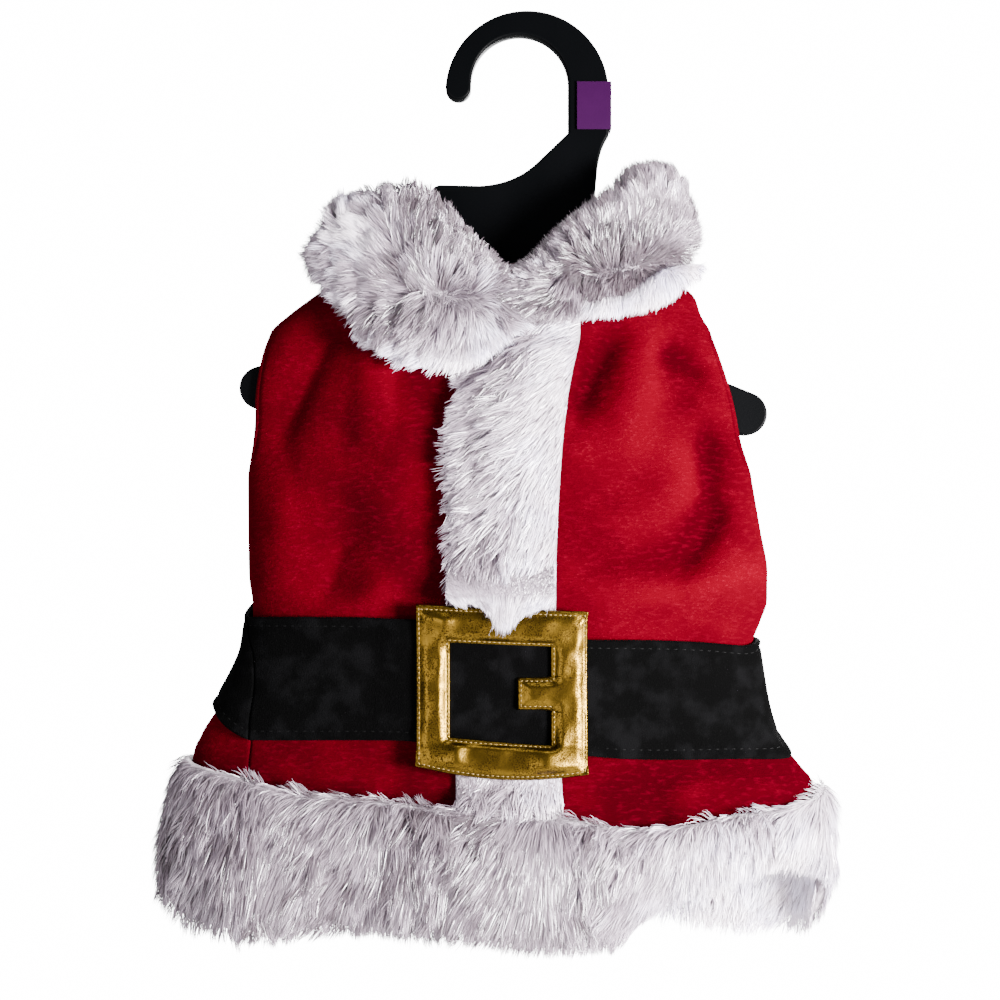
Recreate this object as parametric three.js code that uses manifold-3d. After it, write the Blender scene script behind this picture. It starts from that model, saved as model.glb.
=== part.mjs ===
// A santa coat for a very small dog, on its moulded plastic hanger.
//
// Millimetres, +Z up, the coat's front towards -Y. The origin is where a rod carries the hanger: the inside
// top of its hook. The coat is a flattened tube of cloth. Every piece of it is worked out on the same tube:
// a place on it is a turn round the girth and a height, and pieces lie over each other at their own lifts.

import * as THREE from "three";
import { mergeVertices } from "three/addons/utils/BufferGeometryUtils.js";
import Module from "manifold-3d";

const wasm = await Module();
wasm.setup();

// ---- cloth and pile, measured outwards from the coat's tube ----
const SEAM_GAP = 0.3;
const VELOUR = 2.0;
const BELT_PLUSH = 2.0;
const FOIL_CLOTH = 1.6;
const STRIP_PRESSED = 1.8; // the fur strip where the belt and the collar press it flat
const STRIP_PILE = 7.5;
const PILE_EDGE = 1.2; // how thick a fur piece is at its cut edges
const LAID_LIFT = 1.0; // how far a piece that is laid on a panel stands off it
const COLLAR_LIFT = 1.5;
const SEAM_INSET = 0.8; // degrees of girth that each panel stops short of a side seam
const AT_SIDE = 0.03; // a place whose cosine of turn is under this faces straight out to its side

// ---- how finely the cloth is divided ----
const FRONT_COLUMNS = 26;
const BACK_COLUMNS = 18;
const PANEL_ROWS = 28;
const BELT_ROWS = 8;
const STRIP_COLUMNS = 8;
const STRIP_ROWS = 30;
const COLLAR_ROWS = 8;
const HEM_ROWS = 8;

// ---- the girth: where the coat's sides are at each height, and how far front and back stand out ----
const FULLNESS = 0.8; // 1 would make each girth an ellipse, less makes its front flatter
const GIRTH = [
  { z: -41, left: -44, right: 40, front: 9, back: 9 },
  { z: -54, left: -52, right: 46, front: 10, back: 9 },
  { z: -62, left: -57, right: 50.5, front: 11, back: 10 },
  { z: -75, left: -61, right: 52, front: 12, back: 11 },
  { z: -90, left: -69, right: 57.5, front: 14, back: 12 },
  { z: -97, left: -78, right: 64, front: 15, back: 13 },
  { z: -103, left: -86, right: 66, front: 16, back: 14 },
  { z: -110, left: -93.5, right: 70.3, front: 17, back: 15 },
  { z: -121, left: -98.3, right: 75.5, front: 18, back: 15 },
  { z: -138, left: -100.8, right: 80.5, front: 18, back: 15 },
  { z: -156, left: -101.2, right: 84, front: 18, back: 15 },
  { z: -164, left: -101.2, right: 85, front: 18, back: 15 },
  { z: -182, left: -101, right: 88, front: 19, back: 15 },
  { z: -198, left: -100.5, right: 90.5, front: 20, back: 16 },
  { z: -208, left: -99.5, right: 90.5, front: 21, back: 16 },
  { z: -216, left: -99.3, right: 88, front: 20, back: 16 },
  { z: -225, left: -100.5, right: 85, front: 19, back: 16 },
  { z: -236, left: -105, right: 86, front: 19, back: 16 },
  { z: -247, left: -111.5, right: 88, front: 20, back: 17 },
  { z: -258, left: -118.5, right: 92, front: 21, back: 18 },
  { z: -266, left: -121, right: 100, front: 23, back: 20 },
  { z: -277, left: -122, right: 107, front: 25, back: 22 },
  { z: -300, left: -126, right: 108, front: 28, back: 24 },
  { z: -340, left: -128, right: 109, front: 30, back: 26 },
];

const RIGHT_SIDE = 90; // the turn at which every front piece meets its back piece

// The side seams, in degrees of girth. The front runs from frontLeft to frontRight and the back from
// backRight on round to backLeft. Between z -108 and z -162 they part to leave the leg openings.
const SIDE_SEAMS = [
  { z: -50, frontLeft: -90, frontRight: 90, backRight: 90, backLeft: 270 },
  { z: -106, frontLeft: -90, frontRight: 90, backRight: 90, backLeft: 270 },
  { z: -112, frontLeft: -81, frontRight: 81, backRight: 112, backLeft: 248 },
  { z: -121, frontLeft: -78, frontRight: 78, backRight: 128, backLeft: 232 },
  { z: -137, frontLeft: -78, frontRight: 78, backRight: 134, backLeft: 226 },
  { z: -150, frontLeft: -79, frontRight: 79, backRight: 128, backLeft: 232 },
  { z: -158, frontLeft: -83, frontRight: 83, backRight: 110, backLeft: 250 },
  { z: -163, frontLeft: -90, frontRight: 90, backRight: 90, backLeft: 270 },
  { z: -204, frontLeft: -90, frontRight: 90, backRight: 90, backLeft: 270 },
  { z: -214, frontLeft: -84, frontRight: 90, backRight: 90, backLeft: 276 },
  { z: -229, frontLeft: -70, frontRight: 90, backRight: 90, backLeft: 290 },
  { z: -247, frontLeft: -58.5, frontRight: 90, backRight: 90, backLeft: 301.5 },
  { z: -262, frontLeft: -53, frontRight: 90, backRight: 90, backLeft: 307 },
  { z: -345, frontLeft: -51, frontRight: 90, backRight: 90, backLeft: 309 },
];

// The neckline: how high the panels reach, round the girth.
const NECKLINE = [
  { turn: -60, z: -64 },
  { turn: -16, z: -66 },
  { turn: 4, z: -84 },
  { turn: 21, z: -93 },
  { turn: 36, z: -84 },
  { turn: 54, z: -66 },
  { turn: 90, z: -64 },
  { turn: 135, z: -65 },
  { turn: 180, z: -76 },
  { turn: 225, z: -65 },
  { turn: 270, z: -64 },
];

// The largest folds: each runs between two points of its side, `wide` to either hand, `out` being how far
// it stands out of the cloth, or lies in it where that is negative.
const FOLDS_BELOW_COLLAR = { start: -96, full: -116 }; // the collar holds the cloth flat above these
const FOLDS_ABOVE_BELT = { full: -200, end: -212 };
const FOLDS_BELOW_BELT = { start: -266, full: -276 };
const FOLDS = [
  { side: "front", from: [-72, -112], to: [-88, -143], wide: 9, out: -3 },
  { side: "front", from: [-54, -124], to: [-47, -146], wide: 10, out: 2 },
  { side: "front", from: [-62, -184], to: [-66, -204], wide: 9, out: -2 },
  { side: "front", from: [-84, -170], to: [-90, -202], wide: 9, out: 1.5 },
  { side: "front", from: [-46, -160], to: [-54, -198], wide: 11, out: 1.5 },
  { side: "front", from: [36, -112], to: [24, -132], wide: 9, out: -3 },
  { side: "front", from: [46, -110], to: [38, -146], wide: 9, out: 2.5 },
  { side: "front", from: [52, -120], to: [60, -130], wide: 9, out: -2.5 },
  { side: "front", from: [70, -152], to: [66, -178], wide: 9, out: -3 },
  { side: "front", from: [66, -182], to: [56, -196], wide: 9, out: -2.5 },
  { side: "front", from: [55, -158], to: [62, -170], wide: 10, out: 2.5 },
  { side: "front", from: [74, -200], to: [44, -209], wide: 8, out: 3 },
  { side: "front", from: [58, -278], to: [84, -268], wide: 8, out: 3 },
  { side: "back", from: [-58, -120], to: [-50, -170], wide: 12, out: -3 },
  { side: "back", from: [-20, -110], to: [-12, -190], wide: 13, out: 2.5 },
  { side: "back", from: [24, -100], to: [30, -180], wide: 12, out: -3 },
  { side: "back", from: [58, -170], to: [50, -205], wide: 11, out: 3 },
  { side: "back", from: [-74, -176], to: [-70, -206], wide: 10, out: 2.5 },
];

// The skirt's flares: each is a wave that starts under the belt and is at its full height at the hem.
const FLARE_TOP = -262;
const FLARE_FULL = -325;
const FLARES = [
  { turn: -47, wide: 10, out: 4 },
  { turn: -27, wide: 10, out: -3 },
  { turn: -4, wide: 12, out: 5 },
  { turn: 19, wide: 10, out: -3 },
  { turn: 38, wide: 10, out: 3 },
  { turn: 60, wide: 10, out: -3 },
  { turn: 112, wide: 11, out: 4 },
  { turn: 137, wide: 10, out: -3 },
  { turn: 160, wide: 12, out: 5 },
  { turn: 184, wide: 10, out: -3 },
  { turn: 206, wide: 11, out: 4 },
  { turn: 232, wide: 10, out: -3 },
  { turn: 256, wide: 11, out: 3 },
  { turn: 287, wide: 10, out: -2 },
];

// The fur strip down the front: its two edges at each height.
const STRIP_TOP = -96;
const STRIP_FOOT = { left: -27, right: 15, z: -278 }; // about where it ends, 1 mm above the hem band
const STRIP_OVER_HEM = 1;
// How far below the collar, and how far from the buckle, the strip's pressed pile stands up again.
const STRIP_FULL_BELOW_COLLAR = { start: 2, full: 9 };
const STRIP_FULL_FROM_BUCKLE = { start: 1, full: 8 };
const BESIDE_STRIP = { near: 6, far: 28 }; // what lies over the strip comes down to the cloth between these
const STRIP = [
  { z: -90, left: -24, right: 22 },
  { z: -110, left: -25.5, right: 22 },
  { z: -126, left: -26.5, right: 19 },
  { z: -138, left: -28, right: 17 },
  { z: -152, left: -32, right: 15.5 },
  { z: -166, left: -31, right: 14.5 },
  { z: -182, left: -30, right: 13.5 },
  { z: -206, left: -30, right: 13 },
  { z: -240, left: -30, right: 13 },
  { z: -272, left: -27.5, right: 15 },
  { z: -300, left: -27, right: 16 },
];

// The belt's two edges round the girth. It was sewn on askew, so it drops behind the buckle.
const BELT = [
  { turn: -90, top: -214, bottom: -258 },
  { turn: -45, top: -213, bottom: -257 },
  { turn: -25, top: -213, bottom: -260 },
  { turn: -4, top: -215.5, bottom: -262.5 },
  { turn: 10, top: -220, bottom: -264 },
  { turn: 45, top: -222, bottom: -265 },
  { turn: 70, top: -224, bottom: -266 },
  { turn: 90, top: -222, bottom: -260.5 },
  { turn: 135, top: -220, bottom: -261 },
  { turn: 180, top: -213, bottom: -258 },
  { turn: 235, top: -207, bottom: -251 },
  { turn: 262, top: -205, bottom: -248 },
  { turn: 290, top: -214, bottom: -258 },
];

// The buckle, one cut of foil cloth: a frame whose right bar carries the prong.
const BUCKLE_LIFT = 0.7; // how far it stands off the belt
const BUCKLE_COLUMNS = 12;
const BUCKLE_ROWS = 10;
const BUCKLE = {
  left: -37.5,
  right: 22.5,
  topLeft: -208,
  topRight: -210,
  bottomLeft: -266,
  bottomRight: -269,
};
const BUCKLE_SAG = 3; // how far its lower edge bows down at the middle
const BUCKLE_CUT_DEPTH = 100; // the cutter of its hole reaches well past the cloth
const BUCKLE_HOLE = [
  [-25.5, -221],
  [9.5, -222.5],
  [9.5, -234],
  [-2, -234],
  [-2, -246],
  [9.5, -246],
  [9.5, -259],
  [-25.5, -255.5],
];

// The collar's three lengths of fur, from the back of the neck on the left round to the right. A row goes
// from the lower edge to the upper edge of the collar, and `pile` is how thick the fur is between them.
const COLLAR_COLUMNS = { left: 20, right: 20, back: 12 };
const COLLAR_LEFT = [
  { lowTurn: -141, low: -92, highTurn: -141, high: -62, pile: 11 },
  { lowTurn: -116, low: -93, highTurn: -116, high: -62, pile: 13 },
  { lowTurn: -96, low: -94, highTurn: -100, high: -62.5, pile: 17.5 },
  { lowTurn: -78, low: -95, highTurn: -88, high: -61.5, pile: 18 },
  { lowTurn: -56, low: -100, highTurn: -78, high: -60, pile: 15 },
  { lowTurn: -38, low: -108, highTurn: -56, high: -58, pile: 15 },
  { lowTurn: -28, low: -119, highTurn: -42, high: -57, pile: 14 },
  { lowTurn: -21, low: -123.5, highTurn: -34, high: -59, pile: 13 },
  { lowTurn: -15, low: -126, highTurn: -27, high: -62.5, pile: 12 },
  { lowTurn: -8, low: -125.5, highTurn: -20, high: -69, pile: 11 },
  { lowTurn: -1, low: -120.5, highTurn: -10.5, high: -78.5, pile: 10 },
  { lowTurn: 3, low: -115, highTurn: -4, high: -84.5, pile: 9 },
  { lowTurn: 7.5, low: -110, highTurn: -0.5, high: -88, pile: 7 },
];
const COLLAR_RIGHT = [
  { lowTurn: 9, low: -109, highTurn: 1, high: -88, pile: 7 },
  { lowTurn: 17, low: -108, highTurn: 6, high: -85, pile: 9 },
  { lowTurn: 28, low: -106, highTurn: 12, high: -79, pile: 11 },
  { lowTurn: 36, low: -105, highTurn: 22, high: -70, pile: 13 },
  { lowTurn: 45, low: -103, highTurn: 30, high: -64, pile: 14 },
  { lowTurn: 54, low: -100, highTurn: 39, high: -59, pile: 15 },
  { lowTurn: 64, low: -97, highTurn: 48, high: -54, pile: 16 },
  { lowTurn: 76, low: -96, highTurn: 62, high: -50, pile: 15.5 },
  { lowTurn: 90, low: -94.5, highTurn: 78, high: -49.5, pile: 14.5 },
  { lowTurn: 104, low: -93, highTurn: 92, high: -51.5, pile: 14 },
  { lowTurn: 120, low: -92, highTurn: 116, high: -57, pile: 13 },
  { lowTurn: 141, low: -92, highTurn: 141, high: -62, pile: 11 },
];
const COLLAR_BACK = [
  { lowTurn: 142, low: -92, highTurn: 142, high: -62, pile: 11 },
  { lowTurn: 180, low: -96, highTurn: 180, high: -65, pile: 10 },
  { lowTurn: 218, low: -92, highTurn: 218, high: -62, pile: 11 },
];

// The hem's fur band: its two edges round the girth and how thick its fur is.
const PANEL_UNDER_HEM = 13; // how far the red cloth runs down behind the band
const HEM_FRONT = [
  { turn: -53, top: -270, bottom: -326, pile: 11 },
  { turn: -42, top: -274, bottom: -325.5, pile: 12 },
  { turn: -22, top: -277, bottom: -322.5, pile: 12 },
  { turn: -5, top: -280, bottom: -324, pile: 12 },
  { turn: 8, top: -282, bottom: -328, pile: 12 },
  { turn: 20, top: -286, bottom: -327.5, pile: 12 },
  { turn: 26, top: -287, bottom: -318, pile: 11 },
  { turn: 34, top: -286, bottom: -307, pile: 10 },
  { turn: 46, top: -283, bottom: -302, pile: 10 },
  { turn: 60, top: -282, bottom: -300, pile: 10 },
  { turn: 76, top: -279, bottom: -305, pile: 10 },
  { turn: 90, top: -276, bottom: -315, pile: 10 },
];
const HEM_BACK = [
  { turn: 90, top: -276, bottom: -315, pile: 10 },
  { turn: 103, top: -278, bottom: -331, pile: 12 },
  { turn: 125, top: -280, bottom: -333, pile: 12 },
  { turn: 150, top: -281, bottom: -328.5, pile: 12 },
  { turn: 180, top: -280, bottom: -330, pile: 12 },
  { turn: 215, top: -277, bottom: -330, pile: 12 },
  { turn: 245, top: -271, bottom: -326, pile: 12 },
  { turn: 270, top: -265, bottom: -318, pile: 9 },
  { turn: 288, top: -267, bottom: -325, pile: 10 },
  { turn: 307, top: -270, bottom: -326, pile: 11 },
];

// The hanger, a flat moulding, and the marker clipped round its stem.
const HANGER_THICK = 6;
const HANGER_ROUND = 0.8;
const HOOK_INSIDE = { x: -0.9, z: -17.9, radius: 17.9 };
const HOOK_OUTSIDE = { x: 1.8, z: -21.1, radius: 30.1 };
const HOOK_TIP = { x: -23.5, z: -19.2, radius: 4.7 };
const LEFT_ARM = { x: -96.2, z: -130, radius: 8, slope: 16 };
const RIGHT_ARM = { x: 82.3, z: -139.5, radius: 8, slope: 22.5 };
const HANGER_ARC_STEPS = 9;

// The hanger's outline between its round ends: each row is a line or a curve to a point, by its pull points.
const HOOK_TO_RIGHT_ARM = [
  { pulls: [], to: [31.9, -37] },
  { pulls: [[29, -41]], to: [27.8, -49] },
  { pulls: [], to: [26.3, -66] },
  { pulls: [[27, -98], [36, -112]], to: [58, -121] },
];
const UNDER_THE_ARMS = [
  { pulls: [], to: [60, -139] },
  { pulls: [[34, -128], [20, -84]], to: [-1.9, -83] },
  { pulls: [[-26, -84], [-44, -121]], to: [-70, -131] },
];
const LEFT_ARM_TO_HOOK = [
  { pulls: [], to: [-72, -114.5] },
  { pulls: [[-50, -108], [-38, -96]], to: [-36, -66] },
  { pulls: [[-35, -55.4]], to: [-30, -55.2] },
  { pulls: [], to: [-15.5, -55.5] },
  { pulls: [[-6, -55], [1, -51.5]], to: [6, -46.5] },
  { pulls: [], to: [17, -36] },
];
const MARKER = { left: 20.2, right: 31.9, top: -17.4, bottom: -35, wall: 0.6 };

// ---- small tools ----

// How steeply a column changes at a row, flat where it turns back, so that a curve never overshoots.
function steepness(table, key, i, column) {
  const secant = (p, q) => (q[column] - p[column]) / (q[key] - p[key]);
  const before = secant(table[Math.max(i - 1, 0)], table[Math.max(i, 1)]);
  const after = secant(table[Math.min(i, table.length - 2)], table[Math.min(i + 1, table.length - 1)]);
  return before * after > 0 ? (2 * before * after) / (before + after) : 0;
}

// A column of a table at any key, on a smooth curve through its rows.
function read(table, key, at, column) {
  const last = table.length - 1;
  const rising = table[last][key] > table[0][key] ? 1 : -1;
  let i = 0;
  while (i < last - 1 && (at - table[i + 1][key]) * rising > 0) {
    i += 1;
  }
  const [a, b] = [table[i], table[i + 1]];
  const span = b[key] - a[key];
  const t = THREE.MathUtils.clamp((at - a[key]) / span, 0, 1);
  const leaving = steepness(table, key, i, column) * span;
  const arriving = steepness(table, key, i + 1, column) * span;
  const t2 = t * t;
  const t3 = t2 * t;
  return (2 * t3 - 3 * t2 + 1) * a[column] + (t3 - 2 * t2 + t) * leaving
    + (3 * t2 - 2 * t3) * b[column] + (t3 - t2) * arriving;
}

const lerp = THREE.MathUtils.lerp;
const radians = THREE.MathUtils.degToRad;

// How far a point of the XZ plane is from the line between two others.
function offLine([x, z], [ax, az], [bx, bz]) {
  const [dx, dz] = [bx - ax, bz - az];
  const t = THREE.MathUtils.clamp(((x - ax) * dx + (z - az) * dz) / (dx * dx + dz * dz), 0, 1);
  return Math.hypot(x - ax - t * dx, z - az - t * dz);
}

// ---- the coat's tube ----

// Where the girth is at a turn: 0 is the middle of the front, 90 its right side, 180 the middle of the back.
function onGirth(turn, z) {
  const left = read(GIRTH, "z", z, "left");
  const right = read(GIRTH, "z", z, "right");
  const towards = Math.cos(radians(turn));
  const depth = read(GIRTH, "z", z, towards > 0 ? "front" : "back");
  return new THREE.Vector3(
    (left + right) / 2 + ((right - left) / 2) * Math.sin(radians(turn)),
    -Math.sign(towards) * depth * Math.abs(towards) ** FULLNESS,
    z,
  );
}

// The turn of a point of the front that is x to the right.
function turnAt(x, z) {
  const left = read(GIRTH, "z", z, "left");
  const right = read(GIRTH, "z", z, "right");
  return THREE.MathUtils.radToDeg(Math.asin((2 * x - left - right) / (right - left)));
}

// How far the belt or the collar leaves the cloth free to fold: 0 under them, 1 well away.
function freeToFold(z) {
  const belowCollar = THREE.MathUtils.smoothstep(-z, -FOLDS_BELOW_COLLAR.start, -FOLDS_BELOW_COLLAR.full);
  const intoBelt = THREE.MathUtils.smoothstep(-z, -FOLDS_ABOVE_BELT.full, -FOLDS_ABOVE_BELT.end);
  const outOfBelt = THREE.MathUtils.smoothstep(-z, -FOLDS_BELOW_BELT.start, -FOLDS_BELOW_BELT.full);
  return belowCollar * (1 - intoBelt + outOfBelt);
}

// How far folds and flares move the cloth out at a place.
function relief(turn, z) {
  const place = onGirth(turn, z);
  const side = Math.cos(radians(turn)) > 0 ? "front" : "back";
  let out = 0;
  for (const fold of FOLDS) {
    if (fold.side === side) {
      const away = offLine([place.x, z], fold.from, fold.to) / fold.wide;
      out += fold.out * Math.exp(-away * away) * freeToFold(z);
    }
  }
  const flared = THREE.MathUtils.smoothstep(-z, -FLARE_TOP, -FLARE_FULL);
  for (const flare of FLARES) {
    const apart = THREE.MathUtils.euclideanModulo(turn - flare.turn + 180, 360) - 180;
    out += flare.out * flared * Math.exp(-((apart / flare.wide) ** 2));
  }
  return out;
}

// A point `lift` outside the coat's outer face, folds and all.
function onCoat(turn, z, lift) {
  const step = 0.5;
  const place = onGirth(turn, z);
  const facing = Math.abs(Math.cos(radians(turn))) < AT_SIDE ? 90 * Math.round(turn / 90) : turn;
  const round = onGirth(facing + step, z).sub(onGirth(facing - step, z));
  const up = onGirth(turn, z + step).sub(onGirth(turn, z - step));
  return place.addScaledVector(round.cross(up).normalize(), lift + relief(turn, z));
}

// How much of the strip's pressed thickness a place has to clear: 1 over the strip, 0 well beside it.
function overStrip(turn, z) {
  if (Math.cos(radians(turn)) < 0) {
    return 0;
  }
  const { x } = onGirth(turn, z);
  const beside = Math.max(read(STRIP, "z", z, "left") - x, x - read(STRIP, "z", z, "right"), 0);
  return 1 - THREE.MathUtils.smoothstep(beside, BESIDE_STRIP.near, BESIDE_STRIP.far);
}

const clearOfStrip = (turn, z) => overStrip(turn, z) * (STRIP_PRESSED + SEAM_GAP);

// The turn of a place `across` a panel, from its one side seam to the other.
function acrossFront(across, z) {
  return lerp(
    read(SIDE_SEAMS, "z", z, "frontLeft") + SEAM_INSET,
    read(SIDE_SEAMS, "z", z, "frontRight") - SEAM_INSET,
    across,
  );
}

function acrossBack(across, z) {
  return lerp(
    read(SIDE_SEAMS, "z", z, "backRight") + SEAM_INSET,
    read(SIDE_SEAMS, "z", z, "backLeft") - SEAM_INSET,
    across,
  );
}

// ---- closed walls ----

// A closed wall of columns by rows. place(across, along) gives its outer and its inner point, both counted
// from 0 to 1, across to the right as seen from outside and along upwards.
function wall(columns, rows, place) {
  const outer = [];
  const inner = [];
  for (let j = 0; j <= rows; j += 1) {
    for (let i = 0; i <= columns; i += 1) {
      const spot = place(i / columns, j / rows);
      outer.push(spot.outer);
      inner.push(spot.inner);
    }
  }
  const at = (i, j) => j * (columns + 1) + i;
  const inside = outer.length;
  const faces = [];
  for (let j = 0; j < rows; j += 1) {
    for (let i = 0; i < columns; i += 1) {
      const [a, b, c, d] = [at(i, j), at(i + 1, j), at(i + 1, j + 1), at(i, j + 1)];
      faces.push(a, b, c, a, c, d);
      faces.push(inside + a, inside + c, inside + b, inside + a, inside + d, inside + c);
    }
  }
  const rim = [];
  for (let i = 0; i < columns; i += 1) {
    rim.push([at(i, 0), at(i + 1, 0)], [at(columns - i, rows), at(columns - i - 1, rows)]);
  }
  for (let j = 0; j < rows; j += 1) {
    rim.push([at(columns, j), at(columns, j + 1)], [at(0, rows - j), at(0, rows - j - 1)]);
  }
  for (const [p, q] of rim) {
    faces.push(p, inside + p, inside + q, p, inside + q, q);
  }
  const geometry = new THREE.BufferGeometry();
  const positions = [...outer, ...inner].flatMap((point) => point.toArray());
  geometry.setAttribute("position", new THREE.Float32BufferAttribute(positions, 3));
  geometry.setIndex(faces);
  geometry.computeVertexNormals();
  return geometry;
}

// A wall that stands on the coat's tube between two lifts.
function clothAt(turn, z, lift, thick) {
  return { outer: onCoat(turn, z, lift + thick), inner: onCoat(turn, z, lift) };
}

// How full a fur piece is between its edges: 0 at either edge and 1 in the middle.
function pillow(along) {
  return Math.sqrt(1 - (2 * along - 1) ** 4);
}

// ---- the red cloth ----

function panel(columns, across, hem) {
  return wall(columns, PANEL_ROWS, (a, along) => {
    const nominal = lerp(hem[0].turn, hem.at(-1).turn, a);
    const top = read(NECKLINE, "turn", nominal, "z");
    const bottom = read(hem, "turn", nominal, "top") - PANEL_UNDER_HEM;
    const z = lerp(bottom, top, along);
    return clothAt(across(a, z), z, -VELOUR, VELOUR);
  });
}

// ---- the fur strip ----

// Its pile stands up only between the collar's lower edge and the buckle, and again below the buckle.
function stripThick(turn, z) {
  const wing = turn < COLLAR_LEFT.at(-1).lowTurn ? COLLAR_LEFT : COLLAR_RIGHT;
  const underCollar = read(wing, "lowTurn", turn, "low");
  const { start, full } = STRIP_FULL_BELOW_COLLAR;
  const belowCollar = THREE.MathUtils.smoothstep(underCollar - z, start, full);
  const fromBuckle = Math.max(z - BUCKLE.topLeft, BUCKLE.bottomRight - BUCKLE_SAG - z);
  const clearOfBuckle = THREE.MathUtils.smoothstep(
    fromBuckle,
    STRIP_FULL_FROM_BUCKLE.start,
    STRIP_FULL_FROM_BUCKLE.full,
  );
  return lerp(STRIP_PRESSED, STRIP_PILE, belowCollar * clearOfBuckle);
}

function strip() {
  return wall(STRIP_COLUMNS, STRIP_ROWS, (across, along) => {
    const footTurn = turnAt(lerp(STRIP_FOOT.left, STRIP_FOOT.right, across), STRIP_FOOT.z);
    const foot = read(HEM_FRONT, "turn", footTurn, "top") + STRIP_OVER_HEM;
    const z = lerp(foot, STRIP_TOP, along);
    const x = lerp(read(STRIP, "z", z, "left"), read(STRIP, "z", z, "right"), across);
    const turn = turnAt(x, z);
    return clothAt(turn, z, LAID_LIFT, lerp(PILE_EDGE, stripThick(turn, z), pillow(across)));
  });
}

// ---- belt and buckle ----

function belt(columns, across, firstTurn, lastTurn) {
  return wall(columns, BELT_ROWS, (a, along) => {
    const nominal = lerp(firstTurn, lastTurn, a);
    const z = lerp(read(BELT, "turn", nominal, "bottom"), read(BELT, "turn", nominal, "top"), along);
    const turn = across(a, z);
    return clothAt(turn, z, LAID_LIFT + clearOfStrip(turn, z), BELT_PLUSH);
  });
}

// A flat outline of the XZ plane, made solid from one side of that plane to the other.
function plate(shape, thick, round) {
  const geometry = new THREE.ExtrudeGeometry(shape, {
    depth: thick - 2 * round,
    bevelEnabled: round > 0,
    bevelThickness: round,
    bevelSize: round,
    bevelOffset: -round,
    bevelSegments: 1,
    curveSegments: HANGER_ARC_STEPS,
  });
  return geometry.rotateX(Math.PI / 2).translate(0, thick / 2 - round, 0);
}

function solid(geometry) {
  const bare = geometry.clone();
  bare.deleteAttribute("normal");
  bare.deleteAttribute("uv");
  const merged = mergeVertices(bare);
  return new wasm.Manifold(new wasm.Mesh({
    numProp: 3,
    vertProperties: merged.attributes.position.array,
    triVerts: Uint32Array.from(merged.index.array),
  }));
}

function fromSolid(body) {
  const mesh = body.getMesh();
  const geometry = new THREE.BufferGeometry();
  geometry.setAttribute("position", new THREE.BufferAttribute(mesh.vertProperties, 3));
  geometry.setIndex(new THREE.BufferAttribute(mesh.triVerts, 1));
  return geometry;
}

function buckle() {
  const whole = wall(BUCKLE_COLUMNS, BUCKLE_ROWS, (across, along) => {
    const sag = BUCKLE_SAG * (1 - (2 * across - 1) ** 2);
    const z = lerp(
      lerp(BUCKLE.bottomLeft, BUCKLE.bottomRight, across) - sag,
      lerp(BUCKLE.topLeft, BUCKLE.topRight, across),
      along,
    );
    const turn = turnAt(lerp(BUCKLE.left, BUCKLE.right, across), z);
    const lift = LAID_LIFT + clearOfStrip(turn, z) + BELT_PLUSH + BUCKLE_LIFT;
    return clothAt(turn, z, lift, FOIL_CLOTH);
  });
  const hole = new THREE.Shape(BUCKLE_HOLE.map(([x, z]) => new THREE.Vector2(x, z)));
  const through = plate(hole, BUCKLE_CUT_DEPTH, 0);
  return fromSolid(solid(whole).subtract(solid(through)));
}

// ---- collar and hem ----

function collar(rows, columns) {
  const table = rows.map((row, at) => ({ at: at / (rows.length - 1), ...row }));
  return wall(columns, COLLAR_ROWS, (across, v) => {
    const along = (1 - Math.cos(Math.PI * v)) / 2;
    const column = (name) => read(table, "at", across, name);
    const turn = lerp(column("lowTurn"), column("highTurn"), along);
    const z = lerp(column("low"), column("high"), along);
    const thick = lerp(PILE_EDGE, column("pile"), pillow(along));
    return clothAt(turn, z, COLLAR_LIFT + clearOfStrip(turn, z), thick);
  });
}

function hemBand(columns, across, table) {
  return wall(columns, HEM_ROWS, (a, v) => {
    const along = (1 - Math.cos(Math.PI * v)) / 2;
    const nominal = lerp(table[0].turn, table.at(-1).turn, a);
    const column = (name) => read(table, "turn", nominal, name);
    const z = lerp(column("bottom"), column("top"), along);
    return clothAt(across(a, z), z, LAID_LIFT, lerp(PILE_EDGE, column("pile"), pillow(along)));
  });
}

// ---- hanger ----

function follow(shape, steps) {
  for (const { pulls, to } of steps) {
    if (pulls.length === 2) {
      shape.bezierCurveTo(...pulls.flat(), ...to);
    } else if (pulls.length === 1) {
      shape.quadraticCurveTo(...pulls.flat(), ...to);
    } else {
      shape.lineTo(...to);
    }
  }
}

function hangerShape() {
  const shape = new THREE.Shape();
  const stemLeft = HOOK_INSIDE.x + HOOK_INSIDE.radius;
  const endOf = (arc) => Math.PI - Math.asin((HOOK_TIP.z - arc.z) / arc.radius); // level with the tip
  shape.moveTo(stemLeft, HOOK_INSIDE.z);
  shape.absarc(HOOK_INSIDE.x, HOOK_INSIDE.z, HOOK_INSIDE.radius, 0, endOf(HOOK_INSIDE), false);
  shape.absarc(HOOK_TIP.x, HOOK_TIP.z, HOOK_TIP.radius, 0, -Math.PI, true);
  shape.absarc(HOOK_OUTSIDE.x, HOOK_OUTSIDE.z, HOOK_OUTSIDE.radius, endOf(HOOK_OUTSIDE), 0, true);
  follow(shape, HOOK_TO_RIGHT_ARM);
  const rightEnd = Math.PI / 2 - radians(RIGHT_ARM.slope);
  shape.absarc(RIGHT_ARM.x, RIGHT_ARM.z, RIGHT_ARM.radius, rightEnd, rightEnd - Math.PI, true);
  follow(shape, UNDER_THE_ARMS);
  const leftEnd = -Math.PI / 2 + radians(LEFT_ARM.slope);
  shape.absarc(LEFT_ARM.x, LEFT_ARM.z, LEFT_ARM.radius, leftEnd, leftEnd - Math.PI, true);
  follow(shape, LEFT_ARM_TO_HOOK);
  shape.closePath();
  return shape;
}

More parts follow.
